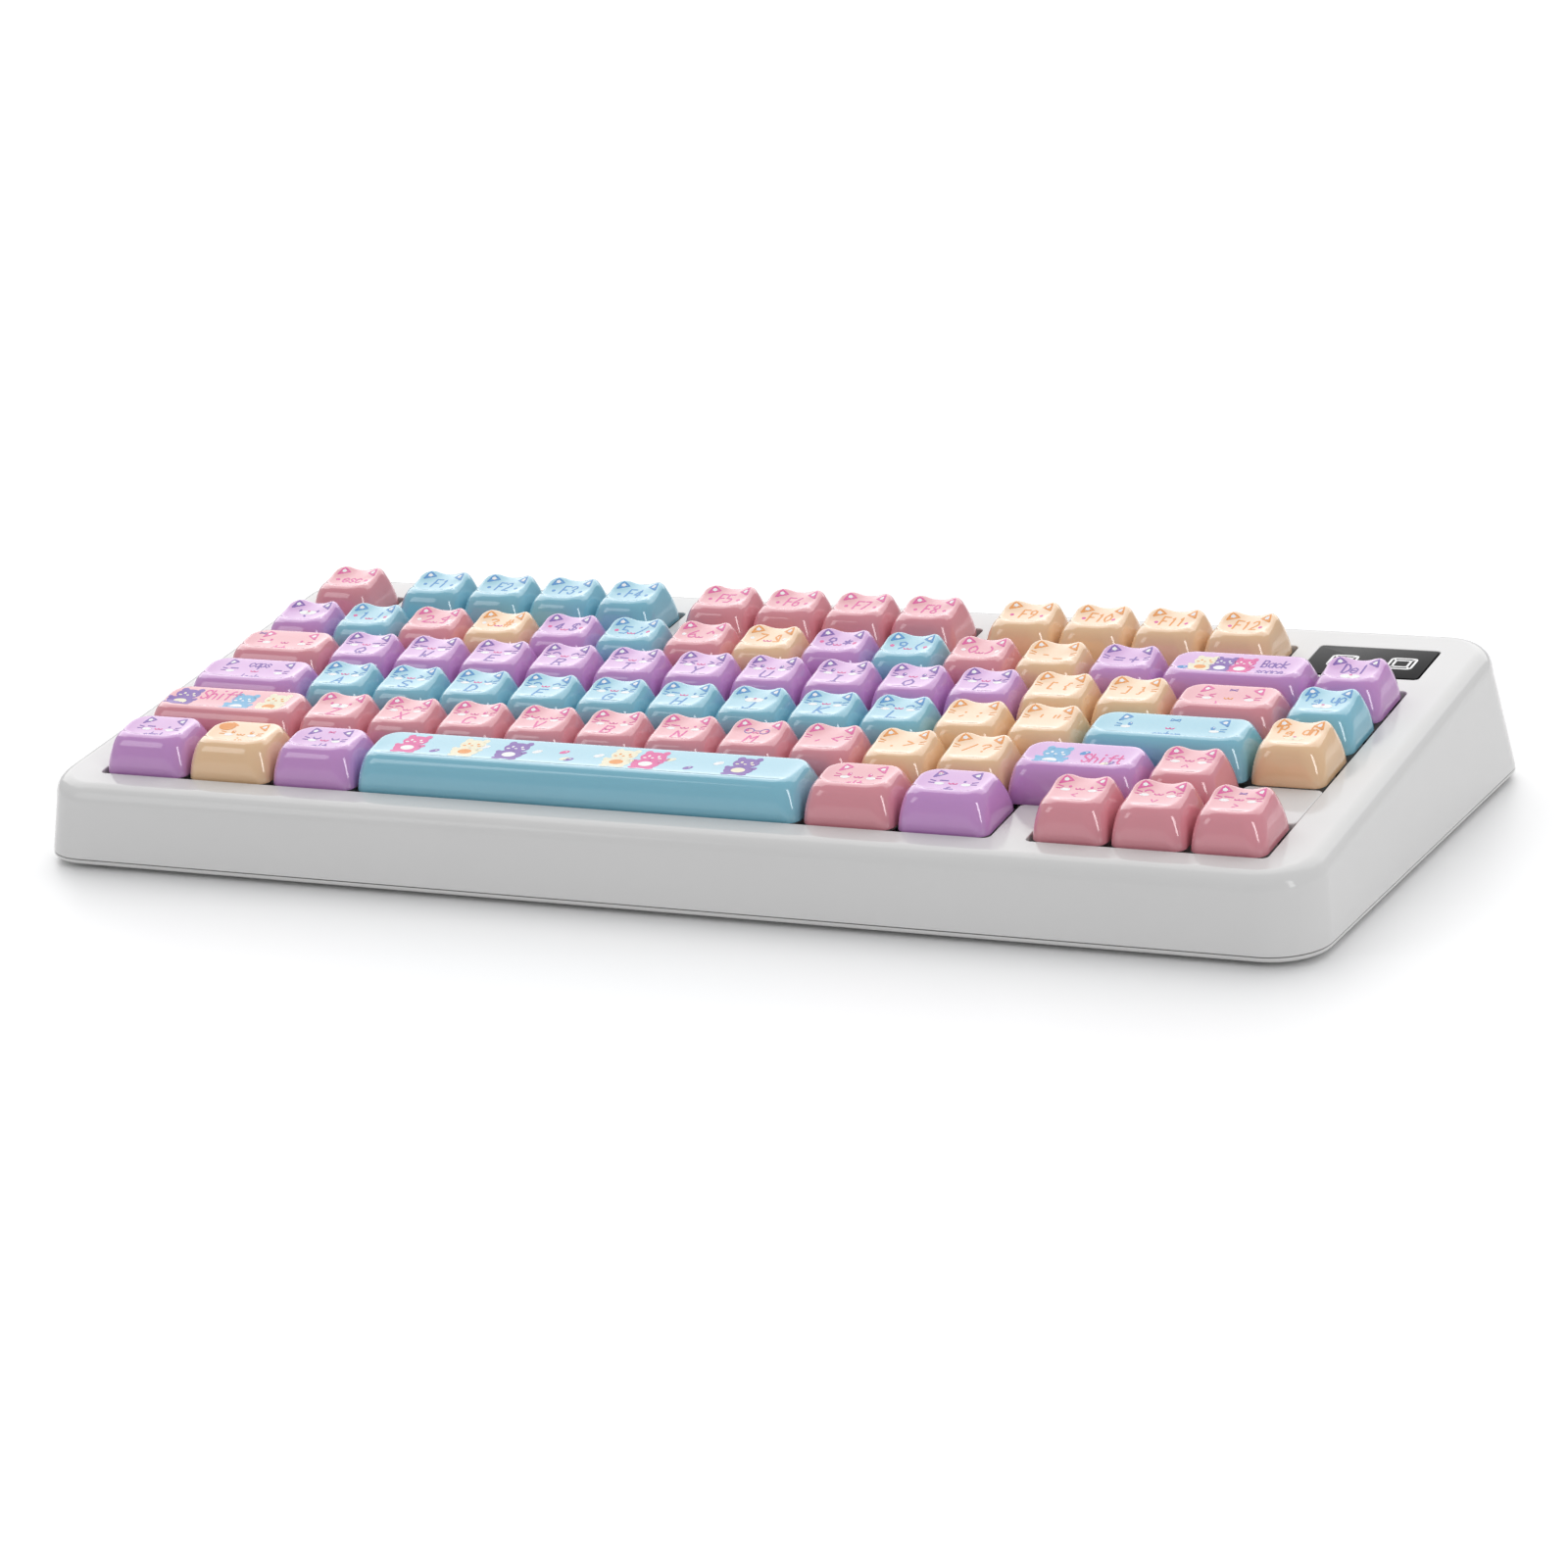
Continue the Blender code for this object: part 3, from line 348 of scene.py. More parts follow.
def skin(bm, rings, cap_ends=True):
    """Joins rings of equal counts, and closes both ends unless told not to."""
    rings = [[bm.verts.new(point) for point in ring] for ring in rings]
    for lower, upper in zip(rings, rings[1:]):
        for i in range(len(lower)):
            j = (i + 1) % len(lower)
            bm.faces.new((lower[i], lower[j], upper[j], upper[i]))
    if cap_ends:
        bm.faces.new(rings[0])
    bm.faces.new(rings[-1])


def add_prism(bm, outline, low, high):
    """Adds a flat outline's upright block."""
    skin(bm, [[(x, y, low) for x, y in outline], [(x, y, high) for x, y in outline]])


def case_outline(inset):
    """The case's foot in plan, drawn in by an inset."""
    half_x, half_y = CASE_WIDTH / 2 - inset, CASE_DEPTH / 2 - inset
    return rounded(rectangle(-half_x, half_x, -half_y, half_y), CASE_CORNER - inset, CORNER_STEPS)


def shoulder_ring(inset, drop):
    """One ring of the fillet round the deck, drawn in and dropped from it."""
    half_x = CASE_WIDTH / 2 - inset
    corners = rectangle(-half_x, half_x, SHOULDER_FRONT + inset - CASE_DEPTH / 2,
                        CASE_DEPTH / 2 - SHOULDER_REAR - inset)
    ring = []
    for x, y in rounded(corners, SHOULDER_CORNER - inset, CORNER_STEPS):
        lean = tan(SIDE_LEAN) * (deck_z(y) - CASE_FILLET - SEAM_HEIGHT)
        ring.append((x * (1 - lean / half_x), y, deck_z(y) - drop))
    return ring


def cut(obj, bm, matrix=None):
    """Cuts a bmesh's shapes out of an object."""
    cutter = mesh_from(bm, f"{obj.name}_cutter")
    if matrix is not None:
        cutter.data.transform(matrix)
    modifier = obj.modifiers.new("cut", "BOOLEAN")
    modifier.operation = "DIFFERENCE"
    modifier.object = cutter
    graph = bpy.context.evaluated_depsgraph_get()
    graph.update()
    mesh = bpy.data.meshes.new_from_object(obj.evaluated_get(graph), depsgraph=graph)
    obj.modifiers.clear()
    obj.data = mesh
    bpy.data.objects.remove(cutter)


def soften_deck_edges(obj, width, steps=4):
    """Rounds the edges where an opening's wall meets the deck, then weights the normals to the flat faces."""
    bm = bmesh.new()
    bm.from_mesh(obj.data)
    bmesh.ops.remove_doubles(bm, verts=bm.verts[:], dist=1e-6)
    bmesh.ops.dissolve_degenerate(bm, edges=bm.edges[:], dist=1e-7)
    on_top = {v for v in bm.verts if abs((v.co - deck_origin).dot(deck_up)) < 2e-6}
    edges = [e for e in bm.edges if e.verts[0] in on_top and e.verts[1] in on_top
             and len(e.link_faces) == 2 and e.calc_face_angle(0) > radians(60)]
    bmesh.ops.bevel(bm, geom=edges, offset=width, segments=steps, profile=0.5, affect="EDGES",
                    clamp_overlap=True)
    bm.to_mesh(obj.data)
    bm.free()
    obj.data.shade_smooth()
    obj.data.set_sharp_from_angle(angle=radians(40))
    weighted = obj.modifiers.new("weighted", "WEIGHTED_NORMAL")
    weighted.keep_sharp = True
    weighted.weight = 100


foot = SEAM_HEIGHT + SEAM_GAP / 2
rings = [[(x, y, z) for x, y in case_outline(0)] for z in (foot, foot + SKIRT_HEIGHT)]
for step in range(FILLET_STEPS + 1):
    angle = step / FILLET_STEPS * pi / 2
    rings.append(shoulder_ring(CASE_FILLET * (1 - cos(angle)), CASE_FILLET * (1 - sin(angle))))
bm = bmesh.new()
skin(bm, rings, cap_ends=False)
top_shell = mesh_from(bm, "top_shell")
top_shell.data.materials.append(case_white)
wall = top_shell.modifiers.new("wall", "SOLIDIFY")
wall.thickness = CASE_WALL
wall.offset = -1
wall.use_even_offset = True

clear = OPENING_CLEARANCE
bridge_rear = PITCH / 2 - clear
field_front, field_rear = -PITCH / 2 - clear, (FUNCTION_ROW + 0.5) * PITCH + clear
outlines = [[(field_x(0) - clear, field_front), (field_x(12.5) + clear, field_front),
             (field_x(12.5) + clear, bridge_rear), (field_x(13) - clear, bridge_rear),
             (field_x(13) - clear, field_front), (field_x(16) + clear, field_front),
             (field_x(16) + clear, 4.5 * PITCH + clear), (field_x(0) - clear, 4.5 * PITCH + clear)]]
for first, last in ((0, 1), (1.375, 5.375), (5.75, 9.75), (10.125, 14.125)):
    outlines.append(rectangle(field_x(first) - clear, field_x(last) + clear,
                              (FUNCTION_ROW - 0.5) * PITCH - clear, field_rear))
bm = bmesh.new()
for outline in outlines:
    add_prism(bm, rounded(outline, OPENING_CORNER, 6), -2 * CASE_WALL, 2 * CASE_WALL)
cut(top_shell, bm, on_deck)

BADGE_GAP = 0.0003
BADGE_THICKNESS = 0.0009
BADGE_HALF_DEPTH = 0.0087
BADGE_RECESS_CORNER = 0.0011
to_deck = on_deck.inverted()
badge_low, badge_high = to_deck @ BADGE_LOW, to_deck @ BADGE_HIGH
badge_middle_y = (badge_low.y + badge_high.y) / 2


def badge_outline(grown, corner):
    """The badge in plan, grown by a gap."""
    front, rear = badge_middle_y - BADGE_HALF_DEPTH - grown, badge_middle_y + BADGE_HALF_DEPTH + grown
    return rounded(rectangle(badge_low.x - grown, badge_high.x + grown, front, rear), corner, 6)


bm = bmesh.new()
add_prism(bm, badge_outline(BADGE_GAP, BADGE_RECESS_CORNER), -BADGE_THICKNESS - BADGE_GAP, CASE_WALL)
cut(top_shell, bm, on_deck)

USB_X, USB_HEIGHT = -0.060, 0.0129
USB_OPENING = (0.0134, 0.0074, 0.003)
MODE_OPENING = (0.0098, 0.0030, 0.0008)
SLOT_AHEAD, SLOT_REACH = 0.004, 0.012
MODE_X, MODE_HEIGHT, MODE_TRAVEL = -0.030, 0.0129, 0.006
bm = bmesh.new()
for x, (width, tall, corner) in ((USB_X, USB_OPENING), (MODE_X + MODE_TRAVEL / 2, MODE_OPENING)):
    slot = rounded(rectangle(-width / 2, width / 2, -tall / 2, tall / 2), corner, 8)
    place = Matrix.Translation((x, CASE_DEPTH / 2 + SLOT_AHEAD, USB_HEIGHT)) @ Matrix.Rotation(pi / 2, 4, "X")
    skin(bm, [[place @ Vector((u, v, w)) for u, v in slot] for w in (0, SLOT_REACH)])
cut(top_shell, bm)
soften_deck_edges(top_shell, OPENING_EDGE)
top_shell = settled(top_shell, sharp=None)
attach(top_shell, "case")
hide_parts("top_case")

# Keycaps: one tree moulds every cap, from a block whose faces are bent into the tapered, thumb-dished
# shape with two cat ears at the rear. They are glossy PBT in four pastel colours, open underneath, with
# the stem's socket inside, and each one is pressed onto its switch.
CAP_HALF = 0.0091
CAP_RIM = -0.0005
CAP_TALL = 0.0090
CAP_FRONT = 0.0087
CAP_REAR = 0.0089
CAP_TAPER_SIDE = 0.0022
CAP_TAPER_FRONT = 0.0024
CAP_TAPER_REAR = 0.0017
CAP_LEAN_CURVE = 2.1
CAP_ROUND_FRONT = 0.0022
CAP_ROUND_REAR = 0.0009
CAP_CORNER_BASE = 0.0028
CAP_CORNER_FRONT = 0.0060
CAP_CORNER_REAR = 0.0058
EARED_CORNER_REAR = 0.0048
CAP_WALL = 0.0009
EAR_RISE = 0.00096
DISH_DEPTH = 0.0006
SOCKET_RADIUS = 0.00275
SOCKET_LENGTH = 0.0058
SOCKET_MIDDLE = 0.0046
EARED_DISH = 0.8
CREASED_DISH = 1.5

KEY_ROWS = (
    (0, [("left_ctrl", 1.25), ("left_super", 1.25), ("left_alt", 1.25), ("space", 6.25),
         ("right_alt", 1.25), ("fn", 1.25), 0.5, ("left", 1), ("down", 1), ("right", 1)]),
    (1, [("left_shift", 2.25), *((c, 1) for c in "zxcvbnm"), ("comma", 1), ("period", 1),
         ("slash", 1), ("right_shift", 1.75), ("up", 1)]),
    (2, [("caps_lock", 1.75), *((c, 1) for c in "asdfghjkl"), ("semicolon", 1), ("quote", 1),
         ("enter", 2.25), ("page_down", 1)]),
    (3, [("tab", 1.5), *((c, 1) for c in "qwertyuiop"), ("left_bracket", 1),
         ("right_bracket", 1), ("backslash", 1.5), ("page_up", 1)]),
    (4, [("grave", 1), *((c, 1) for c in "1234567890"), ("minus", 1), ("equals", 1),
         ("backspace", 2), ("delete", 1)]),
    (FUNCTION_ROW, [("escape", 1), 0.375, *((f"f{n}", 1) for n in range(1, 5)), 0.375,
                    *((f"f{n}", 1) for n in range(5, 9)), 0.375, *((f"f{n}", 1) for n in range(9, 13))]),
)
CAP_COLOURS = {
    "purple": ["grave", "4", "8", "equals", "backspace", "delete", *"qwertyuiop", "caps_lock",
               "right_shift", "left_ctrl", "left_alt", "fn"],
    "pink": ["escape", "f5", "f6", "f7", "f8", "2", "6", "0", "tab", "backslash", "left_shift",
             *"zxcvbnm", "comma", "up", "right_alt", "left", "down", "right"],
    "blue": ["f1", "f2", "f3", "f4", "1", "5", "9", "page_up", *"asdfghjkl", "enter", "space"],
    "cream": ["f9", "f10", "f11", "f12", "3", "7", "minus", "left_bracket", "right_bracket",
              "semicolon", "quote", "page_down", "period", "slash", "left_super"],
}

CAP_DYES = {
    "purple": (0.57, 0.28, 0.61),
    "pink": (0.72, 0.28, 0.33),
    "blue": (0.22, 0.52, 0.65),
    "cream": (0.84, 0.56, 0.33),
}
cap_finish = {colour: moulded(f"cap_{colour}", dye, 0.12, 0.02, 0.02, coat=0.9, soft=0.10)
              for colour, dye in CAP_DYES.items()}


def new_tree(name, **kinds):
    """An empty geometry tree, its graph and the wires of its named inputs."""
    tree = bpy.data.node_groups.new(name, "GeometryNodeTree")
    tree.interface.new_socket("Geometry", in_out="INPUT", socket_type="NodeSocketGeometry")
    tree.interface.new_socket("Geometry", in_out="OUTPUT", socket_type="NodeSocketGeometry")
    for socket, kind in kinds.items():
        tree.interface.new_socket(socket.replace("_", " "), in_out="INPUT", socket_type=f"NodeSocket{kind}")
    graph = Graph(tree)
    entry = tree.nodes.new("NodeGroupInput")
    return tree, graph, {output.name: Wire(graph, output) for output in entry.outputs if output.name}


def close_tree(graph, geometry, finish):
    """Ends a tree: what it made is realised, gets its material and goes out."""
    solid = graph.node("GeometryNodeRealizeInstances", Geometry=geometry)
    if finish is not None:
        solid = graph.node("GeometryNodeSetMaterial", Geometry=solid, Material=finish)
    graph.node("NodeGroupOutput", None, Geometry=solid)


def add_tree(obj, tree, **values):
    """Hangs a tree on an object, with values for its named inputs."""
    modifier = obj.modifiers.new(tree.name, "NODES")
    modifier.node_group = tree
    for item in tree.interface.items_tree:
        key = item.name.replace(" ", "_")
        if item.in_out == "INPUT" and key in values:
            modifier[item.identifier] = values[key]
    return obj


def empty_mesh(name):
    return link(bpy.data.objects.new(name, bpy.data.meshes.new(name)))


def facing_down(graph):
    normal = graph.node("GeometryNodeInputNormal")
    return graph.math("LESS_THAN", graph.apart(normal)[2], -0.5)


def without_floor(graph, geometry):
    return graph.node("GeometryNodeDeleteGeometry", settings={"domain": "FACE"}, Geometry=geometry,
                      Selection=facing_down(graph))


cap_tree, graph, given = new_tree("keycap", Extra_Width="Float", Ear_Rise="Float", Dish_Depth="Float",
                                  Crease="Float", Rear_Corner="Float", Finish="Material")
block = graph.node("GeometryNodeMeshCube", 0, Size=(2, 2, 2), Vertices_X=33, Vertices_Y=31, Vertices_Z=12)
x, y, z = graph.apart(graph.node("GeometryNodeInputPosition"))
a = x * (1.3 - 0.3 * x * x)
b = y * (1.3 - 0.3 * y * y)
level = (z + 1) * 0.5
level = level * (1.5 - 0.5 * level)
ring = graph.most(abs(a), abs(b))
edge = (1 - ring) * CAP_HALF
drop = (1 - level) * CAP_TALL
radius = graph.ease(b, -0.7, 0.5, CAP_ROUND_FRONT, CAP_ROUND_REAR)
out = graph.most(radius - edge, 0)
up = graph.most(radius - drop, 0)
pull = radius / graph.most((out * out + up * up) ** 0.5, radius)
edge = edge + out * (1 - pull)
drop = drop + up * (1 - pull)
level = graph.most(1 - drop / CAP_TALL, 0)
shrink = (1 - edge / CAP_HALF) / graph.most(ring, 1e-6)
u, v = a * shrink, b * shrink
corner = graph.ease(b, -0.4, 0.4, CAP_CORNER_FRONT, given["Rear Corner"])
inner = 1 - (CAP_CORNER_BASE + (corner - CAP_CORNER_BASE) * level) / CAP_HALF
past_u = graph.most(abs(u) - inner, 0)
past_v = graph.most(abs(v) - inner, 0)
tuck = graph.most(past_u, past_v) / graph.most((past_u * past_u + past_v * past_v) ** 0.5, 1e-7)
side_u, side_v = graph.math("SIGN", u), graph.math("SIGN", v)
u = side_u * (graph.least(abs(u), inner) + past_u * tuck)
v = side_v * (graph.least(abs(v), inner) + past_v * tuck)
lean = level ** CAP_LEAN_CURVE
taper_y = CAP_TAPER_REAR + (CAP_TAPER_FRONT - CAP_TAPER_REAR) * graph.math("LESS_THAN", v, 0)
cap_x = u * (CAP_HALF - CAP_TAPER_SIDE * lean) + side_u * graph.least(abs(u) * 3.5, 1) * given["Extra Width"]
cap_y = v * (CAP_HALF - taper_y * lean)
across = 1 - abs(u) ** 3.0
crease = given["Crease"]
bowed = v - 0.30 * crease * u * u
along = graph.ease(bowed, -0.98 + 0.30 * crease, -0.45 - 0.04 * crease)
along = along * graph.ease(v, -0.30, 1.05, 1.0, 0.35)
dish = given["Dish Depth"] * across * along
ear = given["Ear Rise"] * graph.ease(v, 0.10, 0.95) * graph.ease(abs(u), 0.0, 0.80) ** 1.4
top = CAP_FRONT + (CAP_REAR - CAP_FRONT) * 0.5 * (v + 1) - dish + ear
cap_z = CAP_RIM + level * (top - CAP_RIM)
bent = graph.node("GeometryNodeSetPosition", Geometry=without_floor(graph, block),
                  Position=graph.node("ShaderNodeCombineXYZ", X=cap_x, Y=cap_y, Z=cap_z))
socket = graph.node("GeometryNodeMeshCylinder", 0, Vertices=28, Radius=SOCKET_RADIUS, Depth=SOCKET_LENGTH)
socket = graph.node("GeometryNodeTransform", Geometry=without_floor(graph, socket),
                    Translation=(0, 0, SOCKET_MIDDLE))
joined = graph.node("GeometryNodeJoinGeometry", Geometry=bent)
graph.put(socket, joined.socket.node.inputs[0])
close_tree(graph, joined, given["Finish"])

keys = {}
for row, entries in KEY_ROWS:
    at = 0
    for entry in entries:
        if isinstance(entry, tuple):
            keys[entry[0]] = (Vector((field_x(at + entry[1] / 2), row * PITCH, 0)), entry[1])
            at += entry[1]
        else:
            at += entry


def body_of(name):
    """The body that a key moves with: its own, or the group whose box it stands in."""
    if f"key_{name}" in bodies:
        return f"key_{name}"
    centre = on_deck @ (keys[name][0] + Vector((0, 0, 0.004)))
    for body in bodies:
        if body.startswith("keys_"):
            low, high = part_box(body)
            if low.x < centre.x < high.x and low.y < centre.y < high.y:
                return body
    raise ValueError(f"no body holds {name}")


colour_of = {name: colour for colour, names in CAP_COLOURS.items() for name in names}
EARED_WIDTH = 1.2
CREASED_FROM = 3.5 * PITCH
for name, (centre, width) in keys.items():
    wide = width > EARED_WIDTH
    creased = wide and name != "space" or centre.y > CREASED_FROM
    cap = add_tree(empty_mesh(f"cap_{name}"), cap_tree, Extra_Width=(width - 1) * PITCH / 2,
                   Ear_Rise=0.0 if wide else EAR_RISE,
                   Dish_Depth=DISH_DEPTH * (CREASED_DISH if creased else EARED_DISH),
                   Crease=1.0 if creased else 0.0, Rear_Corner=CAP_CORNER_REAR if wide else EARED_CORNER_REAR,
                   Finish=cap_finish[colour_of[name]])
    shell = cap.modifiers.new("wall", "SOLIDIFY")
    shell.thickness = CAP_WALL
    shell.offset = -1
    cap = settled(cap, on_deck @ Matrix.Translation(centre), sharp=50)
    body = body_of(name)
    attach(cap, body)
    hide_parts(body)

# Printed faces: ink sunk into the caps by dye, drawn here as flat strokes 0.02 mm thick. A second tree
# drapes each key's strokes over its cap. Every cat is made of ears, eyes, cheeks, a mouth and a letter.
INKS = {
    "blue": (0.035, 0.26, 0.62),
    "sky": (0.16, 0.46, 0.74),
    "pink": (0.78, 0.07, 0.33),
    "purple": (0.19, 0.07, 0.42),
    "orange": (0.86, 0.30, 0.03),
    "white": (0.92, 0.92, 0.92),
    "pale": (0.90, 0.84, 0.62),
}
INK_OF_CAP = {"purple": "purple", "pink": "pink", "blue": "blue", "cream": "orange"}
INK_THICKNESS = 0.02
LAYER = 0.018
FINE = 0.17
EAR_LINE = 0.32
EYE_LINE = 0.22
MOUTH_LINE = 0.2
LETTER_SLANT = 0.10
FIGURE_LEAN = 0.12
BEAN_TURN = 0.5
EAR = ((-5.35, 3.0), (-4.85, 5.9), (-2.85, 4.75))

# Letters on a grid 4 wide and 6 tall: pairs of digits are points, and a space lifts the pen.
LETTERS = {
    "A": "002640 1232", "B": "0006 0636453303 0333413000", "C": "4536160402103041",
    "D": "0006 062644422000", "E": "46060040 0333", "F": "460600 0333", "G": "4536160402103041434323",
    "H": "0600 4640 0343", "I": "2620 1636 1030", "J": "3631201001", "K": "0600 460340", "L": "060040",
    "M": "0006234640", "N": "00064046", "O": "26040220424426", "P": "0006 0636453303",
    "Q": "26040220424426 2240", "R": "0006 0636453303 2340", "S": "4536160504234241301001",
    "T": "0646 2620", "U": "060210304246", "V": "062046", "W": "0610233046", "X": "0640 4600",
    "Y": "0623 4623 2320", "Z": "06460040",
    "0": "26040220424426", "1": "152620", "2": "051636440040", "3": "051636452342301001",
    "4": "30360242", "5": "46060333423000", "6": "3603011030413302", "7": "064610",
    "8": "2304163644230110304123", "9": "43130526454320",
    "a": "4440 432403012041", "b": "0600 032443412001", "c": "432403012041", "d": "4640 432403012041",
    "e": "0242432403012041", "f": "46362520 0444", "g": "44401000 432403022243", "h": "0600 03244340",
    "i": "2420 2626", "k": "0600 440240", "l": "2620", "n": "0400 03244340", "o": "24030120414324",
    "p": "0400 052645432203", "r": "0400 032444", "s": "432403412001", "t": "26213040 0444",
    "u": "04012041 4440", "-": "1333", "=": "0444 0242", "[": "36161030", "]": "16363010",
    "{": "36262413222030", "}": "16262433222010", "\\": "0640", "/": "0046", "<": "450341", ">": "054301",
    "?": "051636452322 2020", "!": "2622 2020", "@": "3323 23044640 2040", "#": "1016 3036 0242 0444",
    "$": "4536160504234241301001 2620", "%": "0046 0606 4040", "^": "042644", "&": "402616044010",
    "*": "2521 0442 0244", "(": "36141230", ")": "16343210", "+": "2521 0343", "`": "1625", "_": "0040",
    ":": "2424 2121", ";": "2424 2110", "'": "2624", '"': "1614 3634", ",": "2110", ".": "2020",
}


def ink(name, colour):
    """A printing ink, a little uneven in colour and gloss."""
    material, graph, shader = new_material(f"ink_{name}")
    speckle = object_noise(graph, 1500.0, 2.0)
    fuller = tuple(channel * 0.82 for channel in colour)
    graph.put(graph.mix(speckle, colour4(fuller), colour4(colour)), shader["Base Color"])
    graph.put(0.18 + 0.12 * speckle, shader["Roughness"])
    return material


ink_finish = {name: ink(name, colour) for name, colour in INKS.items()}


class Print:
    """The printed marks of one key: closed flat strokes, in millimetres about the key's middle."""

    def __init__(self):
        self.bm = bmesh.new()
        self.used = []

    def stroke(self, points, ink, radii=FINE, layer=0):
        """A stroke along points with round ends. radii is one number, or one for each point."""
        points = [Vector(point) for point in points]
        if isinstance(radii, (int, float)):
            points, radii = self.eased(points, radii)
        if ink not in self.used:
            self.used.append(ink)
        rings = []
        for i, (point, radius) in enumerate(zip(points, radii)):
            ahead = (points[min(i + 1, len(points) - 1)] - points[max(i - 1, 0)]).normalized()
            side = Vector((-ahead.y, ahead.x)) * radius
            low, high = layer * LAYER - INK_THICKNESS, layer * LAYER + INK_THICKNESS
            section = ((-1, -0.2), (-0.93, 1), (-0.5, 1), (0, 1), (0.5, 1), (0.93, 1), (1, -0.2), (0, -1))
            ring = []
            for across, lift in section:
                height = high if lift > 0 else low
                ring.append(self.bm.verts.new((*(point + side * across) / 1000, height / 1000)))
            rings.append(ring)
        faces = [self.bm.faces.new(rings[0]), self.bm.faces.new(rings[-1])]
        for lower, upper in zip(rings, rings[1:]):
            for i in range(len(lower)):
                j = (i + 1) % len(lower)
                faces.append(self.bm.faces.new((lower[i], lower[j], upper[j], upper[i])))
        for face in faces:
            face.material_index = self.used.index(ink)

    def eased(self, points, radius):
        """Splits long spans, and rounds both ends."""
        first = (points[0] - points[1]).normalized() if points[0] != points[1] else Vector((-1, 0))
        last = (points[-1] - points[-2]).normalized() if points[-1] != points[-2] else Vector((1, 0))
        path, radii = [points[0] + first * radius, points[0] + first * radius * 0.7], [0.25, 0.71]
        for here, there in zip(points, points[1:]):
            pieces = max(1, round((there - here).length / 0.7))
            for piece in range(pieces):
                path.append(here.lerp(there, piece / pieces))
                radii.append(1)
        path += [points[-1] + last * 0.001, points[-1] + last * radius * 0.7, points[-1] + last * radius]
        return path, [radius * share for share in radii + [1, 0.71, 0.25]]

    def oval(self, x, y, half_x, half_y, ink, layer=0, turn=0.0):
        """A filled oval. Its long axis may be turned from X."""
        along = Vector((cos(turn), sin(turn)))
        points, radii = [], []
        for step in range(11):
            angle = pi * (step + 0.35) / 10.7
            points.append(Vector((x, y)) - along * half_x * cos(angle))
            radii.append(half_y * sin(angle))
        self.stroke(points, ink, radii, layer)

    def arc(self, x, y, radius, start, end, ink, thick, layer=0):
        """An arc, in degrees from +X."""
        steps = max(4, round(abs(end - start) / 24))
        turns = [radians(start + (end - start) * step / steps) for step in range(steps + 1)]
        self.stroke([(x + radius * cos(t), y + radius * sin(t)) for t in turns], ink, thick, layer)

    def text(self, words, x, y, tall, ink, thick=0.22, narrow=0.57):
        """Words centred on (x, y), tall from foot to cap, drawn narrower than the grid."""
        unit = tall / 6
        step = 5.6 * unit * narrow
        left = x - step * (len(words) - 1) / 2 - 2 * unit * narrow
        for place, letter in enumerate(words):
            for run in LETTERS.get(letter, "").split():
                dots = [(int(run[i]), int(run[i + 1])) for i in range(0, len(run), 2)]
                down = 2 if letter in "gp" else 0
                points = [(left + step * place + (u + LETTER_SLANT * (v - down)) * unit * narrow,
                           y + (v - down - 3) * unit) for u, v in dots]
                if len(set(points)) == 1:
                    self.oval(*points[0], thick * 1.3, thick * 1.3, ink)
                else:
                    self.stroke(points, ink, thick)

    def ears(self, ink, out=0.0):
        """Both ears: an outline and a pale middle."""
        for side in (-1, 1):
            shape = [(side * (abs(px) + out), py) for px, py in EAR]
            self.stroke([*shape, shape[0]], ink, EAR_LINE)
            middle = (sum(px for px, _ in shape) / 3, sum(py for _, py in shape) / 3)
            self.oval(*middle, 0.55, 0.6, "white", 1)

    def cheeks(self, out=3.3, y=0.75, ink="white", long=1.2):
        for side in (-1, 1):
            self.oval(side * out, y, long, 0.62, ink)

    def whiskers(self, ink, out=4.2, y=1.4):
        for side in (-1, 1):
            self.stroke([(side * out, y + 0.5), (side * (out + 1.3), y + 0.8)], ink, FINE, 1)
            self.stroke([(side * out, y - 0.3), (side * (out + 1.3), y - 0.4)], ink, FINE, 1)

    def eyes(self, kind, ink, out=2.6, y=2.2):
        for side in (-1, 1):
            x = side * out
            if kind == "round":
                self.oval(x, y, 0.55, 0.75, ink, 1)
                self.oval(x + 0.15, y + 0.25, 0.2, 0.22, "white", 2)
            elif kind == "happy":
                self.arc(x, y - 0.25, 1.0, 20, 160, ink, EYE_LINE, layer=1)
            elif kind == "asleep":
                self.arc(x, y + 0.3, 1.0, 200, 340, ink, EYE_LINE, layer=1)
            elif kind == "wink" and side < 0 or kind == "flat":
                self.stroke([(x - 0.95, y), (x + 0.95, y)], ink, EYE_LINE, 1)
            elif kind == "wink":
                self.oval(x, y, 0.34, 0.42, ink, 1)
            elif kind == "squeezed":
                self.stroke([(x - side * 0.7, y + 0.7), (x + side * 0.6, y), (x - side * 0.7, y - 0.7)],
                            ink, 0.2, 1)
            elif kind == "dot":
                self.oval(x, y, 0.38, 0.5, ink, 1)

    def mouth(self, ink="pink", y=1.5):
        for side in (-1, 1):
            self.arc(side * 0.5, y + 0.1, 0.5, 190, 350, ink, MOUTH_LINE, layer=1)

    def muzzle(self, ink="white", y=1.4):
        for side in (-1, 1):
            self.oval(side * 0.9, y, 1.5, 1.1, ink)
        self.oval(0, y + 0.7, 0.42, 0.3, "pink", 1)

    def bow(self, x, y, ink, size=0.8):
        for side in (-1, 1):
            self.stroke([(x, y), (x + side * size, y + size * 0.55), (x + side * size, y - size * 0.45),
                         (x, y)], ink, 0.15, 1)
        self.oval(x, y, 0.24, 0.24, ink, 2)

    def figure(self, x, y, ink, detail, lean, size):
        """A small sitting animal: body, head, ears and paws, with a pale belly and a dotted face."""

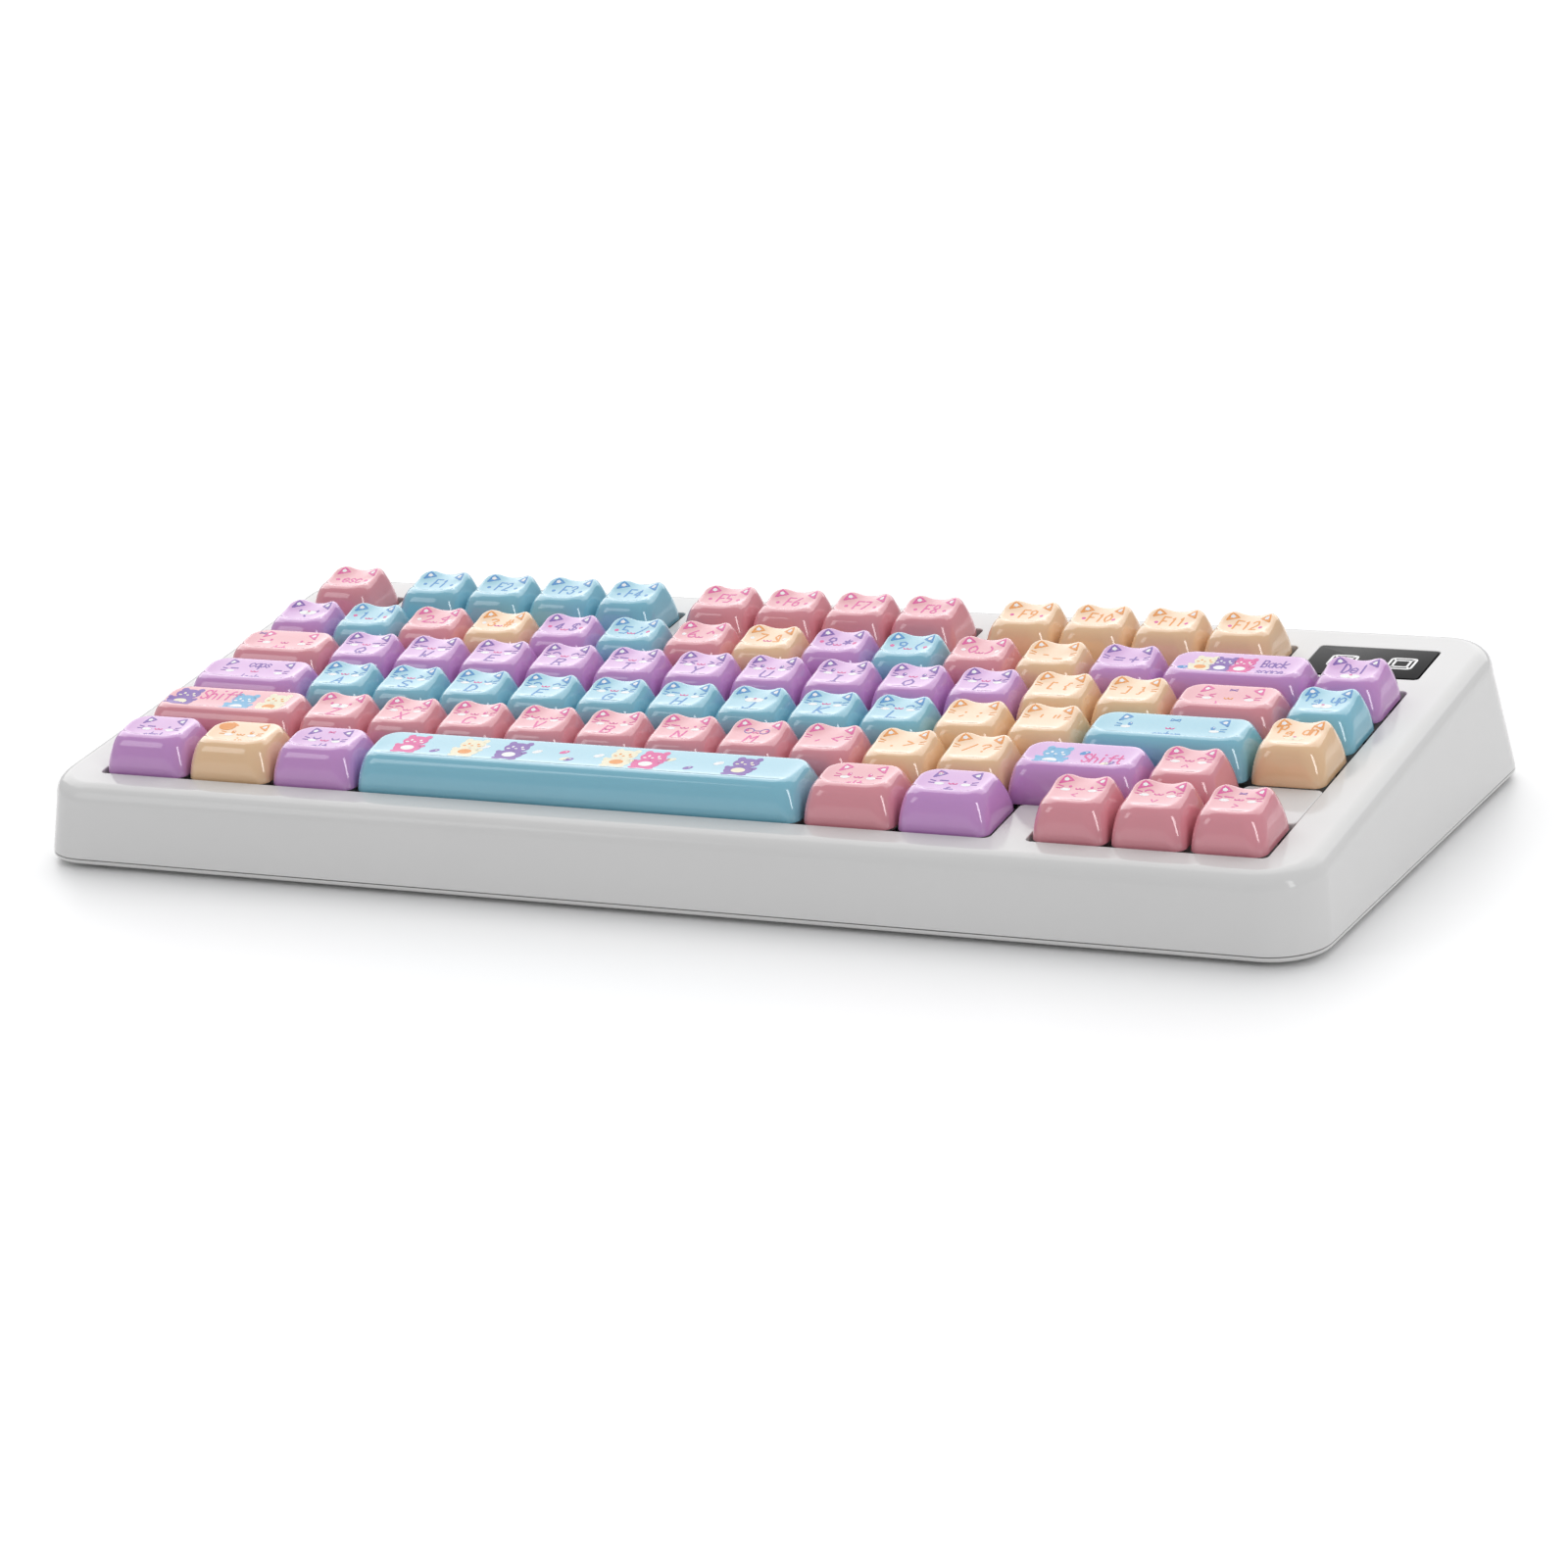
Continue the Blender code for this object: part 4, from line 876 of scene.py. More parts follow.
        def part(u, v, half_x, half_y, colour, layer=0, turn=0.0):
            self.oval(x + (u + lean * v) * size, y + v * size, half_x * size, half_y * size,
                      colour, layer, turn)

        part(0, -0.75, 1.75, 1.25, ink)
        part(0, 1.0, 1.6, 1.2, ink)
        for side in (-1, 1):
            part(side * 1.1, 1.95, 0.45, 0.5, ink)
            part(side * 1.45, -0.3, 0.6, 0.38, ink, 0, side * 0.6)
            part(side * 0.95, -1.75, 0.62, 0.36, ink)
            part(side * 0.6, 1.15, 0.17, 0.2, detail, 1)
            part(side * 0.95, 0.7, 0.24, 0.13, detail, 1)
        part(0, -0.75, 0.85, 0.62, detail, 1)
        part(0, 0.75, 0.2, 0.12, detail, 1)

    def bean(self, x, y, ink):
        self.oval(x, y, 1.3, 0.8, ink, 0, BEAN_TURN)
        self.oval(x + 0.35, y + 0.3, 0.32, 0.17, "white", 1, BEAN_TURN)

    def cat(self, ink, letter, eyes, cheek=True, mouth=True):
        """The usual face, with a letter under it."""
        self.ears(ink)
        if cheek:
            self.cheeks()
            self.whiskers(ink)
        self.eyes(eyes, ink)
        if mouth:
            self.mouth()
        if letter:
            self.text(letter, 0, -2.0, 3.6, ink, 0.3, narrow=0.95)


def wide_face(marks, ink, half, word, eyes="round", mouth="pink"):
    """The face on a wide key: ears towards the ends, cheeks inside them, and a word along the front."""
    spread = max(0, half - 2.0) * 0.8
    marks.ears(ink, out=spread)
    marks.cheeks(3.0 + spread, 0.2)
    marks.whiskers(ink, 4.3 + spread, 0.7)
    marks.eyes(eyes, ink, 2.3 + spread, 1.6)
    marks.mouth(mouth, y=0.6)
    marks.text(word, 0, -2.6, 2.6, ink, 0.22)


EYES = ("happy", "flat", "asleep", "round", "wink", "squeezed")
SHIFTED = dict(zip("1234567890", "!@#$%^&*()"))
MARKS = {"minus": "- _", "equals": "= +", "left_bracket": "[ {", "right_bracket": "] }",
         "semicolon": "; :", "quote": "' \"", "comma": ", <", "period": ". >", "slash": "/ ?"}
# Word, eyes and mouth of each wide face.
WIDE_FACES = {
    "enter": ("enter", "round", "pink"), "tab": ("tab", "dot", "pink"), "caps_lock": ("lock", "flat", "pink"),
    "backslash": ("\\  |", "squeezed", "orange"), "left_ctrl": ("ctrl", "wink", "pink"),
    "left_super": ("win", "round", "orange"), "left_alt": ("alt", "asleep", "pink"),
    "right_alt": ("alt", "round", "pink"), "fn": ("fn", "wink", "pink"),
}
BOWS = {
    "enter": (0, 4.4, "blue", 1.1), "tab": (-8.6625, 4.6, "purple", 0.9),
    "backslash": (0, 4.5, "purple", 0.9), "left_alt": (0, 4.5, "pink", 0.8),
    "right": (0, 4.3, "purple", 0.8),
}
# Eyes and the arrow's tip.
ARROWS = {
    "up": ("happy", (0, 0.9)), "down": ("happy", (0, -0.9)),
    "left": ("dot", (-0.9, 0)), "right": ("flat", (0.9, 0)),
}
# Word, its place, height and weight, and the muzzle's ink.
CORNER_WORDS = {
    "delete": ("Del", 2.2, 3.8, 0.27, "white"), "page_up": ("Pg up", 2.4, 3.6, 0.26, "white"),
    "page_down": ("Pg dn", 2.4, 3.6, 0.26, "pale"),
}
FIGURES = {
    "left_shift": [(-14.0, "purple", "pale"), (2.8, "sky", "white"), (11.8, "pale", "orange")],
    "right_shift": [(-6.8, "sky", "white")],
    "backspace": [(-9.0, "pale", "orange"), (-4.1, "purple", "white"), (0.9, "pink", "white")],
    "space": [(-47.2, "pink", "white"), (-31.4, "pale", "orange"), (-19.4, "purple", "white"),
              (9.5, "pale", "orange"), (17.2, "pink", "white"), (41.5, "purple", "pale")],
}
BEANS = {
    "space": [(-39.5, -1.6, "purple"), (-27.5, 2.0, "white"), (-13.0, 1.4, "white"), (-6.0, 2.1, "pink"),
              (-3.2, -1.4, "purple"), (-4.4, -1.2, "pale"), (3.5, 1.5, "white"), (21.0, 1.6, "pink"),
              (22.4, 2.0, "pale"), (28.5, -1.5, "purple"), (35.0, 1.8, "white")],
    "right_shift": [(0.2, 2.4, "blue"), (6.8, -2.0, "pale"), (7.7, -1.6, "purple")],
    "left_shift": [(0.4, -2.2, "pink")],
    "backspace": [(-13.2, -1.6, "blue")],
}


def print_for(name, width):
    """Draws one key's marks."""
    marks = Print()
    ink = INK_OF_CAP[colour_of[name]]
    half = (width - 1) * PITCH * 500
    for x, body, detail in FIGURES.get(name, ()):
        size = 1.75 if name == "backspace" else 2.1
        marks.figure(x, -0.4 if body == "sky" else 0.6, body, detail, FIGURE_LEAN, size)
    for x, y, body in BEANS.get(name, ()):
        marks.bean(x, y, body)
    if name == "left_shift":
        marks.text("Shift", -4.4, 3.2, 4.2, "pink", 0.3)
    elif name == "right_shift":
        marks.text("Shift", 5.4, 0.2, 3.8, "pink", 0.28)
    elif name == "backspace":
        marks.text("Back", 8.8, 2.4, 3.2, "purple", 0.25)
        marks.text("space", 8.6, -1.4, 2.6, "purple", 0.22)
    elif name in WIDE_FACES:
        wide_face(marks, ink, half, *WIDE_FACES[name])
        if name == "caps_lock":
            marks.text("caps", 0, 4.2, 3.0, ink, 0.24)
        elif name == "left_super":
            marks.oval(-half - 3.3, 3.9, 2.2, 1.9, "orange", 2)
        elif name == "fn":
            marks.oval(-half - 2.4, 4.8, 0.6, 0.6, "pink", 1)
            marks.oval(-half - 2.4, 4.8, 0.2, 0.2, "white", 2)
    elif name in CORNER_WORDS:
        word, y, tall, thick, muzzle = CORNER_WORDS[name]
        marks.ears(ink)
        marks.text(word, 0, y, tall, ink, thick)
        marks.muzzle(muzzle, -1.4)
    elif name == "escape":
        marks.ears(ink)
        marks.text("esc", 0, 1.2, 3.6, ink, 0.26)
        marks.cheeks(4.2, 0.6, "pink", 0.6)
    elif name[0] == "f" and name[1:].isdigit():
        marks.ears(ink)
        marks.text(name.upper(), 0, 1.5, 4.0, ink, 0.28)
        marks.cheeks(3.9, 0.6, ink if ink != "orange" else "pink", 0.5)
    elif name in ARROWS:
        eyes, tip = ARROWS[name]
        marks.cat("pink", "", eyes)
        tip, foot = Vector(tip), Vector((0, -1.6))
        beside = Vector((tip.y, -tip.x)) * 0.8
        marks.stroke([foot + beside - tip * 0.3, foot + tip, foot - beside - tip * 0.3], "pink", 0.19)
    elif name in MARKS:
        marks.ears(ink)
        for x, mark in zip((-1.9, 1.9), MARKS[name].split()):
            marks.text(mark, x, 0.9, 3.4, ink, 0.27, narrow=0.9)
        marks.whiskers(ink, 4.5, 1.0)
    elif name == "grave":
        marks.cat(ink, "`", "dot", False, False)
        marks.muzzle()
    elif name.isdigit():
        marks.ears(ink)
        for x, mark in ((-2.2, name), (2.2, SHIFTED[name])):
            marks.text(mark, x, 1.5, 3.4, ink, 0.27, narrow=0.8)
        marks.mouth("pink", y=0.2)
        marks.cheeks(4.4, 0.9, "pink" if ink in ("purple", "blue") else "white", 0.55)
    elif name in ("z", "j"):
        marks.cat(ink, name.upper(), "dot", False, False)
        marks.muzzle("white", 1.1)
    elif name == "m":
        marks.cat(ink, "M", "dot", False, True)
        for side in (-1, 1):
            marks.arc(side * 2.0, 2.0, 1.15, 0, 350, "purple", 0.14, layer=1)
        marks.stroke([(-0.8, 2.2), (0.8, 2.2)], "purple", 0.12, 1)
    elif len(name) == 1:
        marks.cat(ink, name.upper(), EYES[(ord(name) * 5) % len(EYES)])
    if name in BOWS:
        marks.bow(*BOWS[name])
    return marks


drape, graph, given = new_tree("drape", Cap="Object")
cap_shape = graph.node("GeometryNodeObjectInfo", "Geometry", {"transform_space": "RELATIVE"},
                       Object=given["Cap"])
x, y, z = graph.apart(graph.node("GeometryNodeInputPosition"))
above = graph.node("ShaderNodeCombineXYZ", X=x, Y=y, Z=0.03)
caught = graph.node("GeometryNodeRaycast", "Hit Position", Target_Geometry=cap_shape, Source_Position=above,
                    Ray_Direction=(0, 0, -1), Ray_Length=0.1)
laid = graph.node("ShaderNodeCombineXYZ", X=x, Y=y, Z=graph.apart(caught)[2] + z)
close_tree(graph, graph.node("GeometryNodeSetPosition", Geometry=given["Geometry"], Position=laid), None)

for name, (centre, width) in keys.items():
    place = on_deck @ Matrix.Translation(centre)
    cap = bpy.data.objects[f"cap_{name}"]
    cap.data.transform(place.inverted())
    marks = print_for(name, width)
    used = marks.used
    printed = mesh_from(marks.bm, f"print_{name}")
    for ink_name in used:
        printed.data.materials.append(ink_finish[ink_name])
    printed = settled(add_tree(printed, drape, Cap=cap), place, sharp=None)
    cap.data.transform(place)
    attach(printed, body_of(name))

# Switches: one for each key, soldered to the board and clipped into the plate. A second tree stands a
# copy of each moulding on every place: a black base, a milky upper housing and a steel spring, while the
# sliding stems are grouped by the body that they move with.
BOARD_TOP = -0.0120
BOARD_UNDER = -0.0136
SWITCH_BASE = 0.0137
SWITCH_COLLAR = 0.0144
SWITCH_HEAD = 0.0110
SWITCH_TOP = -0.0005
STEM_BAR = 0.0013
STEM_REACH = 0.0041
SPRING_TURNS = 7
SPRING_RADIUS, SPRING_TALL, SPRING_WIRE = 0.0019, 0.0035, 0.00016
SPRING_FOOT = -0.0110
LAMP_BEHIND = -0.0018

switch_black = moulded("switch_black", (0.025, 0.025, 0.028), 0.34, 0.10, 0.10, 1600)
switch_milky = moulded("switch_milky", (0.80, 0.80, 0.78), 0.22, 0.03, 0.03, 1600, soft=0.3)
stem_violet = moulded("stem_violet", (0.36, 0.20, 0.55), 0.28, 0.04, 0.04, 1800)


def metal(name, colour, roughness, grain=(1, 1, 1), scale=700.0):
    """A bare metal whose polish follows a grain."""
    material, graph, shader = new_material(name)
    lines = object_noise(graph, scale, 3.0, grain)
    darker = tuple(channel * 0.8 for channel in colour)
    graph.put(graph.mix(lines, colour4(darker), colour4(colour)), shader["Base Color"])
    graph.put(roughness * (0.6 + 0.8 * lines), shader["Roughness"])
    bump = graph.node("ShaderNodeBump", Strength=0.06, Distance=0.0001, Height=lines)
    graph.put(bump, shader["Normal"])
    shader["Metallic"].default_value = 1.0
    return material


steel = metal("steel", (0.62, 0.62, 0.64), 0.26, (1, 12, 12))


def block(bm, low, high):
    """Adds a box between two corners."""
    low, high = Vector(low), Vector(high)
    place = Matrix.Translation((low + high) / 2) @ Matrix.Diagonal((*(high - low), 1))
    return bmesh.ops.create_cube(bm, size=1, matrix=place)


def drum(bm, x, y, radius, low, high, sides=32, top_radius=None, turn=None):
    """A cylinder or cone along Z, or along another axis by a turn."""
    place = Matrix.Translation((x, y, (low + high) / 2))
    bmesh.ops.create_cone(bm, cap_ends=True, segments=sides, radius1=radius,
                          radius2=radius if top_radius is None else top_radius, depth=high - low,
                          matrix=place if turn is None else turn @ place)


def square_rings(bm, profile, corner=0.0008, cap_ends=True):
    """A stack of rounded squares, each given as (width, height), joined into one body."""
    rings = []
    for width, z in profile:
        half = width / 2
        rings.append([(px, py, z) for px, py in rounded(rectangle(-half, half, -half, half), corner, 3)])
    skin(bm, rings, cap_ends)


copies, graph, given = new_tree("copies", Piece="Object", Finish="Material")
shape = graph.node("GeometryNodeObjectInfo", "Geometry", Object=given["Piece"])
stood = graph.node("GeometryNodeInstanceOnPoints", Points=given["Geometry"], Instance=shape)
close_tree(graph, stood, given["Finish"])


def repeated(name, prototype, finish, places, matrix=on_deck, sharp=40):
    """Stands a copy of a prototype on each place, as one piece."""
    points = empty_mesh(name)
    points.data.from_pydata([tuple(place) for place in places], [], [])
    return settled(add_tree(points, copies, Piece=prototype, Finish=finish), matrix, sharp)


def softened(bm, name, width, steps=2):
    """An object from a bmesh, with its sharp edges bevelled."""
    obj = mesh_from(bm, name)
    bevel = obj.modifiers.new("edges", "BEVEL")
    bevel.width = width
    bevel.segments = steps
    bevel.limit_method = "ANGLE"
    bevel.harden_normals = False
    return settled(obj)


def put_piece(obj, body, slot=None, *nodes, finish=None):
    """Gives a piece its finish and its body, and hides the nodes that it stands for. The slot is not used."""
    if finish is not None:
        obj.data.materials.append(finish)
    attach(obj, body)
    if nodes:
        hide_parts(*nodes)


def stood(bm, name, finish, places, slot, *nodes, edge=0.0001):
    """Softens a prototype's edges and stands a copy of it on each place, as one fixed piece."""
    prototype = softened(bm, f"prototype_{name}", edge)
    put_piece(repeated(name, prototype, finish, places), "case", slot, *nodes)
    bpy.data.objects.remove(prototype)


centres = [centre for centre, _ in keys.values()]
bm = bmesh.new()
square_rings(bm, ((SWITCH_BASE - 0.0012, BOARD_TOP + 0.0001), (SWITCH_BASE - 0.0003, -0.0105),
                  (SWITCH_BASE, -0.0072), (SWITCH_COLLAR, -0.0068), (SWITCH_COLLAR, -0.0058),
                  (SWITCH_COLLAR - 0.0016, -0.0058), (SWITCH_COLLAR - 0.0022, -0.0113)))
for x in (-0.0051, 0.0051):
    drum(bm, x, 0, 0.0009, BOARD_TOP - 0.0005, BOARD_TOP + 0.0004, 12)
stood(bm, "switch_bases", switch_black, centres, "switch_black", "switch_housings")

bm = bmesh.new()
square_rings(bm, ((0.0136, -0.00575), (0.0134, -0.0050), (SWITCH_HEAD, SWITCH_TOP), (0.0074, SWITCH_TOP),
                  (0.0070, SWITCH_TOP - 0.0006), (0.0074, -0.0046), (0.0120, -0.00575)))
stood(bm, "switch_heads", switch_milky, centres, "plate_white", "switch_housings")

spring_tree, graph, given = new_tree("spring", Finish="Material")
coil = graph.node("GeometryNodeCurveSpiral", 0, Resolution=12, Rotations=float(SPRING_TURNS),
                  Start_Radius=SPRING_RADIUS, End_Radius=SPRING_RADIUS, Height=SPRING_TALL)
wire = graph.node("GeometryNodeCurvePrimitiveCircle", 0, Resolution=6, Radius=SPRING_WIRE)
close_tree(graph, graph.node("GeometryNodeCurveToMesh", Curve=coil, Profile_Curve=wire, Fill_Caps=True),
           given["Finish"])
prototype = settled(add_tree(empty_mesh("prototype_spring"), spring_tree, Finish=steel),
                    Matrix.Translation((0, 0, SPRING_FOOT)))
put_piece(repeated("switch_springs", prototype, steel, centres, sharp=60), "case", "steel")
bpy.data.objects.remove(prototype)

bm = bmesh.new()
square_rings(bm, ((0.0047, -0.0032), (0.0047, -0.0066), (0.0058, -0.0066), (0.0058, -0.0030),
                  (0.0052, -0.0024)), 0.0006)
for half_x, half_y in ((STEM_REACH / 2, STEM_BAR / 2), (STEM_BAR / 2, STEM_REACH / 2)):
    block(bm, (-half_x, -half_y, -0.0026), (half_x, half_y, 0.0014))
prototype = softened(bm, "prototype_stem", 0.0001)
bodies_of_keys = {}
for name, (centre, _) in keys.items():
    bodies_of_keys.setdefault(body_of(name), []).append(centre)
for body, places in bodies_of_keys.items():
    put_piece(repeated(f"stems_{body}", prototype, stem_violet, places), body, "cap_purple")
bpy.data.objects.remove(prototype)


# Switch plate: one steel sheet, punched for the switches and powder-coated white. Its powder coat has a
# fine grain. It rests on the posts of the bottom case.
powder, graph, shader = new_material("powder_white")
grain = object_noise(graph, 3200.0, 3.0)
graph.put(graph.mix(object_noise(graph, 40.0, 2.0), (0.70, 0.70, 0.70, 1), (0.78, 0.78, 0.77, 1)),
          shader["Base Color"])
graph.put(0.38 + 0.25 * grain, shader["Roughness"])
graph.put(graph.node("ShaderNodeBump", Strength=0.25, Distance=0.0001, Height=grain), shader["Normal"])
bpy.data.objects["switch_plate"].data.materials[0] = powder


# Circuit board: glass-fibre laminate under a green solder mask, with copper tracks that show through
# as paler green lines. Under each switch sits a black hot-swap socket, and above it a small white lamp.
solder_mask, graph, shader = new_material("solder_mask")
x, y, z = graph.apart(graph.node("ShaderNodeTexCoord", "Object"))
sway = object_noise(graph, 30.0, 1.0)
lanes = graph.math("FRACT", (y + 0.02 * graph.math("SNAP", sway, 0.05)) * 640.0)
track = graph.math("GREATER_THAN", lanes, 0.62)
green = graph.mix(object_noise(graph, 80.0, 3.0), (0.010, 0.075, 0.035, 1), (0.016, 0.11, 0.05, 1))
graph.put(graph.mix(track * 0.7, green, (0.05, 0.22, 0.10, 1)), shader["Base Color"])
graph.put(0.25 + 0.2 * object_noise(graph, 900.0, 2.0), shader["Roughness"])
graph.put(graph.node("ShaderNodeBump", Strength=0.2, Distance=0.0001, Height=track), shader["Normal"])
bpy.data.objects["circuit_board"].data.materials[0] = solder_mask

bm = bmesh.new()
block(bm, (-0.0050, 0.0022, BOARD_UNDER - 0.0018), (0.0046, 0.0062, BOARD_UNDER))
block(bm, (-0.0062, 0.0030, BOARD_UNDER - 0.0012), (-0.0048, 0.0054, BOARD_UNDER))
block(bm, (0.0044, 0.0026, BOARD_UNDER - 0.0012), (0.0058, 0.0048, BOARD_UNDER))
block(bm, (-0.0012, -0.0052, BOARD_UNDER - 0.0007), (0.0012, -0.0038, BOARD_UNDER))
stood(bm, "hot_swap_sockets", switch_black, centres, "switch_black")

lamp_white, graph, shader = new_material("lamp_white")
glow = object_noise(graph, 900.0, 1.0)
graph.put(graph.mix(glow, (0.86, 0.84, 0.66, 1), (0.92, 0.91, 0.82, 1)), shader["Base Color"])
graph.put(0.15 + 0.2 * glow, shader["Roughness"])
bm = bmesh.new()
block(bm, (-0.0016, -0.0066, BOARD_TOP), (0.0016, -0.0048, BOARD_TOP + 0.0009))
lamp_places = [centre + Vector((0, LAMP_BEHIND, 0)) for centre in centres]
stood(bm, "key_lamps", lamp_white, lamp_places, "plate_white", edge=0.0002)

CHIPS = (
    # x, y, half width, half depth, height
    (0.005, 0.0475, 0.0045, 0.0045, 0.0009),
    (-0.075, 0.0475, 0.003, 0.002, 0.0008),
    (0.060, 0.0285, 0.0025, 0.0025, 0.0008),
    (0.105, 0.0665, 0.0035, 0.0014, 0.001),
)
bm = bmesh.new()
for x, y, half_x, half_y, tall in CHIPS:
    block(bm, (x - half_x, y - half_y, BOARD_UNDER - tall), (x + half_x, y + half_y, BOARD_UNDER))
put_piece(settled(softened(bm, "board_chips", 0.00015), on_deck), "case", "switch_black", finish=switch_black)


# Battery: a lithium pouch in silver foil, taped at one end, with a folded seam at the other.
foil, graph, shader = new_material("battery_foil")
x, y, z = graph.apart(graph.node("ShaderNodeTexCoord", "Object"))
crinkle = object_noise(graph, 260.0, 4.0)
taped = graph.ease(x, 0.0615, 0.0619)
silver = graph.mix(crinkle, (0.48, 0.49, 0.51, 1), (0.66, 0.67, 0.69, 1))
graph.put(graph.mix(taped, silver, (0.75, 0.52, 0.06, 1)), shader["Base Color"])
graph.put(1 - taped, shader["Metallic"])
graph.put(0.28 + 0.2 * crinkle, shader["Roughness"])
graph.put(graph.node("ShaderNodeBump", Strength=0.35, Distance=0.0003, Height=crinkle), shader["Normal"])
low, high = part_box("battery")
bm = bmesh.new()
add_prism(bm, rounded(rectangle(low.x, high.x, low.y, high.y), 0.003, 6), low.z, high.z)
put_piece(softened(bm, "battery_pouch", 0.0016, 4), "case", "battery_silver", "battery", finish=foil)


# Bottom case: a shallow tray in the same white plastic, left matt. Its tongue locates the upper shell,
# posts carry the plate, and the feet fold into two pockets.
FLOOR_UNDER = 0.0012
FLOOR_TOP = 0.0032
TONGUE_IN, TONGUE_WALL, TONGUE_TALL = 0.0035, 0.0012, 0.0030
PAD_X, PAD_Y = 0.150, 0.062
SCREWS = ((-0.142, 0.0665), (0.005, 0.0665), (0.142, 0.0665))
FOOT_LOW, FOOT_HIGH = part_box("flip_foot_right")
PIN_LENGTH = 0.0014
POCKET_CLEAR = 0.0003
POCKET_FRONT, POCKET_REAR = FOOT_LOW.y - 0.0006, FOOT_HIGH.y + POCKET_CLEAR
POCKET_WALL = 0.0013
EDGE_POST_X = FIELD_UNITS / 2 * PITCH + 0.00275
EDGE_POST_UNDER, EDGE_POST_RADIUS = -0.0088, 0.0017
BOARD_POST_UNDER, BOARD_POST_RADIUS = BOARD_UNDER - 0.0003, 0.0025
tray_white = moulded("tray_white", (0.70, 0.695, 0.685), 0.36, 0.02, 0.12, 1800)


def pocket_sides(side):
    """The left and right of the pocket that a folding foot lies in."""
    return sorted((side * (FOOT_LOW.x + PIN_LENGTH - POCKET_CLEAR),
                   side * (FOOT_HIGH.x - PIN_LENGTH + POCKET_CLEAR)))


seam = SEAM_HEIGHT - SEAM_GAP / 2
levels = ((0.0013, FLOOR_UNDER), (0.0008, FLOOR_UNDER + 0.0001), (0.00035, FLOOR_UNDER + 0.0004),
          (0, FLOOR_UNDER + 0.0009), (0, seam - 0.0001), (0.0001, seam), (TONGUE_IN, seam),
          (TONGUE_IN, seam + TONGUE_TALL), (TONGUE_IN + TONGUE_WALL, seam + TONGUE_TALL),
          (TONGUE_IN + TONGUE_WALL, FLOOR_TOP))
bm = bmesh.new()
skin(bm, [[(x, y, z) for x, y in case_outline(inset)] for inset, z in levels])
tray = mesh_from(bm, "bottom_tray")
tray.data.materials.append(tray_white)
bm = bmesh.new()
for side in (-1, 1):
    left, right = pocket_sides(side)
    block(bm, (left, POCKET_FRONT, -0.001), (right, POCKET_REAR, 0.05))
cut(tray, bm)
bm = bmesh.new()
for x in (-PAD_X, PAD_X):
    for y in (-PAD_Y, PAD_Y):
        drum(bm, x, y, 0.0028, -0.01, 0.01)
for x, y in SCREWS:
    drum(bm, x, y, 0.0016, -0.01, 0.01)
    drum(bm, x, y, 0.0031, -0.001, FLOOR_UNDER + 0.0009, top_radius=0.0016)
cut(tray, bm)
put_piece(settled(tray), "case", "case_white", "bottom_case")

bm = bmesh.new()
roof, sunk, met = FOOT_HIGH.z + POCKET_CLEAR, FLOOR_TOP - 0.0005, FOOT_HIGH.z + POCKET_CLEAR + 0.0001
front, rear, wall = POCKET_FRONT, POCKET_REAR, POCKET_WALL
for side in (-1, 1):
    left, right = pocket_sides(side)
    block(bm, (left - wall, front - wall, roof), (right + wall, rear + wall, roof + wall))
    block(bm, (left - wall, front - wall, sunk), (left, rear + wall, met))
    block(bm, (right, front - wall, sunk), (right + wall, rear + wall, met))
    block(bm, (left, front - wall, sunk), (right, front, met))
    block(bm, (left, rear, sunk), (right, rear + wall, met))
put_piece(softened(bm, "foot_pockets", 0.00015), "case", "case_white", finish=tray_white)

bm = bmesh.new()
edge_posts = [(side * EDGE_POST_X, row, EDGE_POST_UNDER, EDGE_POST_RADIUS)
              for side in (-1, 1) for row in (0, 2.5, 5)]
board_posts = [(x, 1.5, BOARD_POST_UNDER, BOARD_POST_RADIUS) for x in (-0.075, 0.095)]
for x, row, under, radius in edge_posts + board_posts:
    y = (on_deck @ Vector((0, row * PITCH, under))).y
    top = deck_z(y) + under / cos(TYPING_ANGLE) - 0.0003
    drum(bm, x, y, radius, FLOOR_TOP - 0.0005, top, 24)
put_piece(softened(bm, "floor_posts", 0.0002), "case", "case_white", finish=tray_white)


# Screws: three small countersunk steel screws that hold the case halves together from below.
bm = bmesh.new()
for x, y in SCREWS:
    drum(bm, x, y, 0.0027, FLOOR_UNDER + 0.0001, FLOOR_UNDER + 0.0010, top_radius=0.0013)
    drum(bm, x, y, 0.0010, FLOOR_UNDER + 0.0009, FLOOR_UNDER + 0.0088, 20)
screws = mesh_from(bm, "case_screws")
screws.data.materials.append(metal("zinc", (0.55, 0.56, 0.58), 0.3, (1, 1, 8), 1200.0))
bm = bmesh.new()
for x, y in SCREWS:
    for wide, deep in ((0.0022, 0.0005), (0.0005, 0.0022)):
        block(bm, (x - wide / 2, y - deep / 2, 0), (x + wide / 2, y + deep / 2, FLOOR_UNDER + 0.0006))
cut(screws, bm)
put_piece(settled(screws), "case", "steel")


# Rubber feet: four round pads in grey silicone, pushed through the floor from inside, where thin runners
# join them into one moulding.
RUNNER_HALF = 0.0015
rubber = moulded("rubber_grey", (0.16, 0.16, 0.165), 0.62, 0.08, 0.30, 1500)
bm = bmesh.new()
for x in (-PAD_X, PAD_X):
    for y in (-PAD_Y, PAD_Y):
        drum(bm, x, y, 0.0065, 0.0, 0.0009, 56)
        drum(bm, x, y, 0.0025, 0.0008, FLOOR_TOP + 0.0006, 24)
half, low_z, high_z = RUNNER_HALF, FLOOR_TOP + 0.0003, FLOOR_TOP + 0.0010
for x in (-PAD_X, PAD_X):
    block(bm, (x - half, -PAD_Y - half, low_z), (x + half, PAD_Y + half, high_z))
block(bm, (-PAD_X, -PAD_Y - half, low_z), (PAD_X, -PAD_Y + half, high_z))
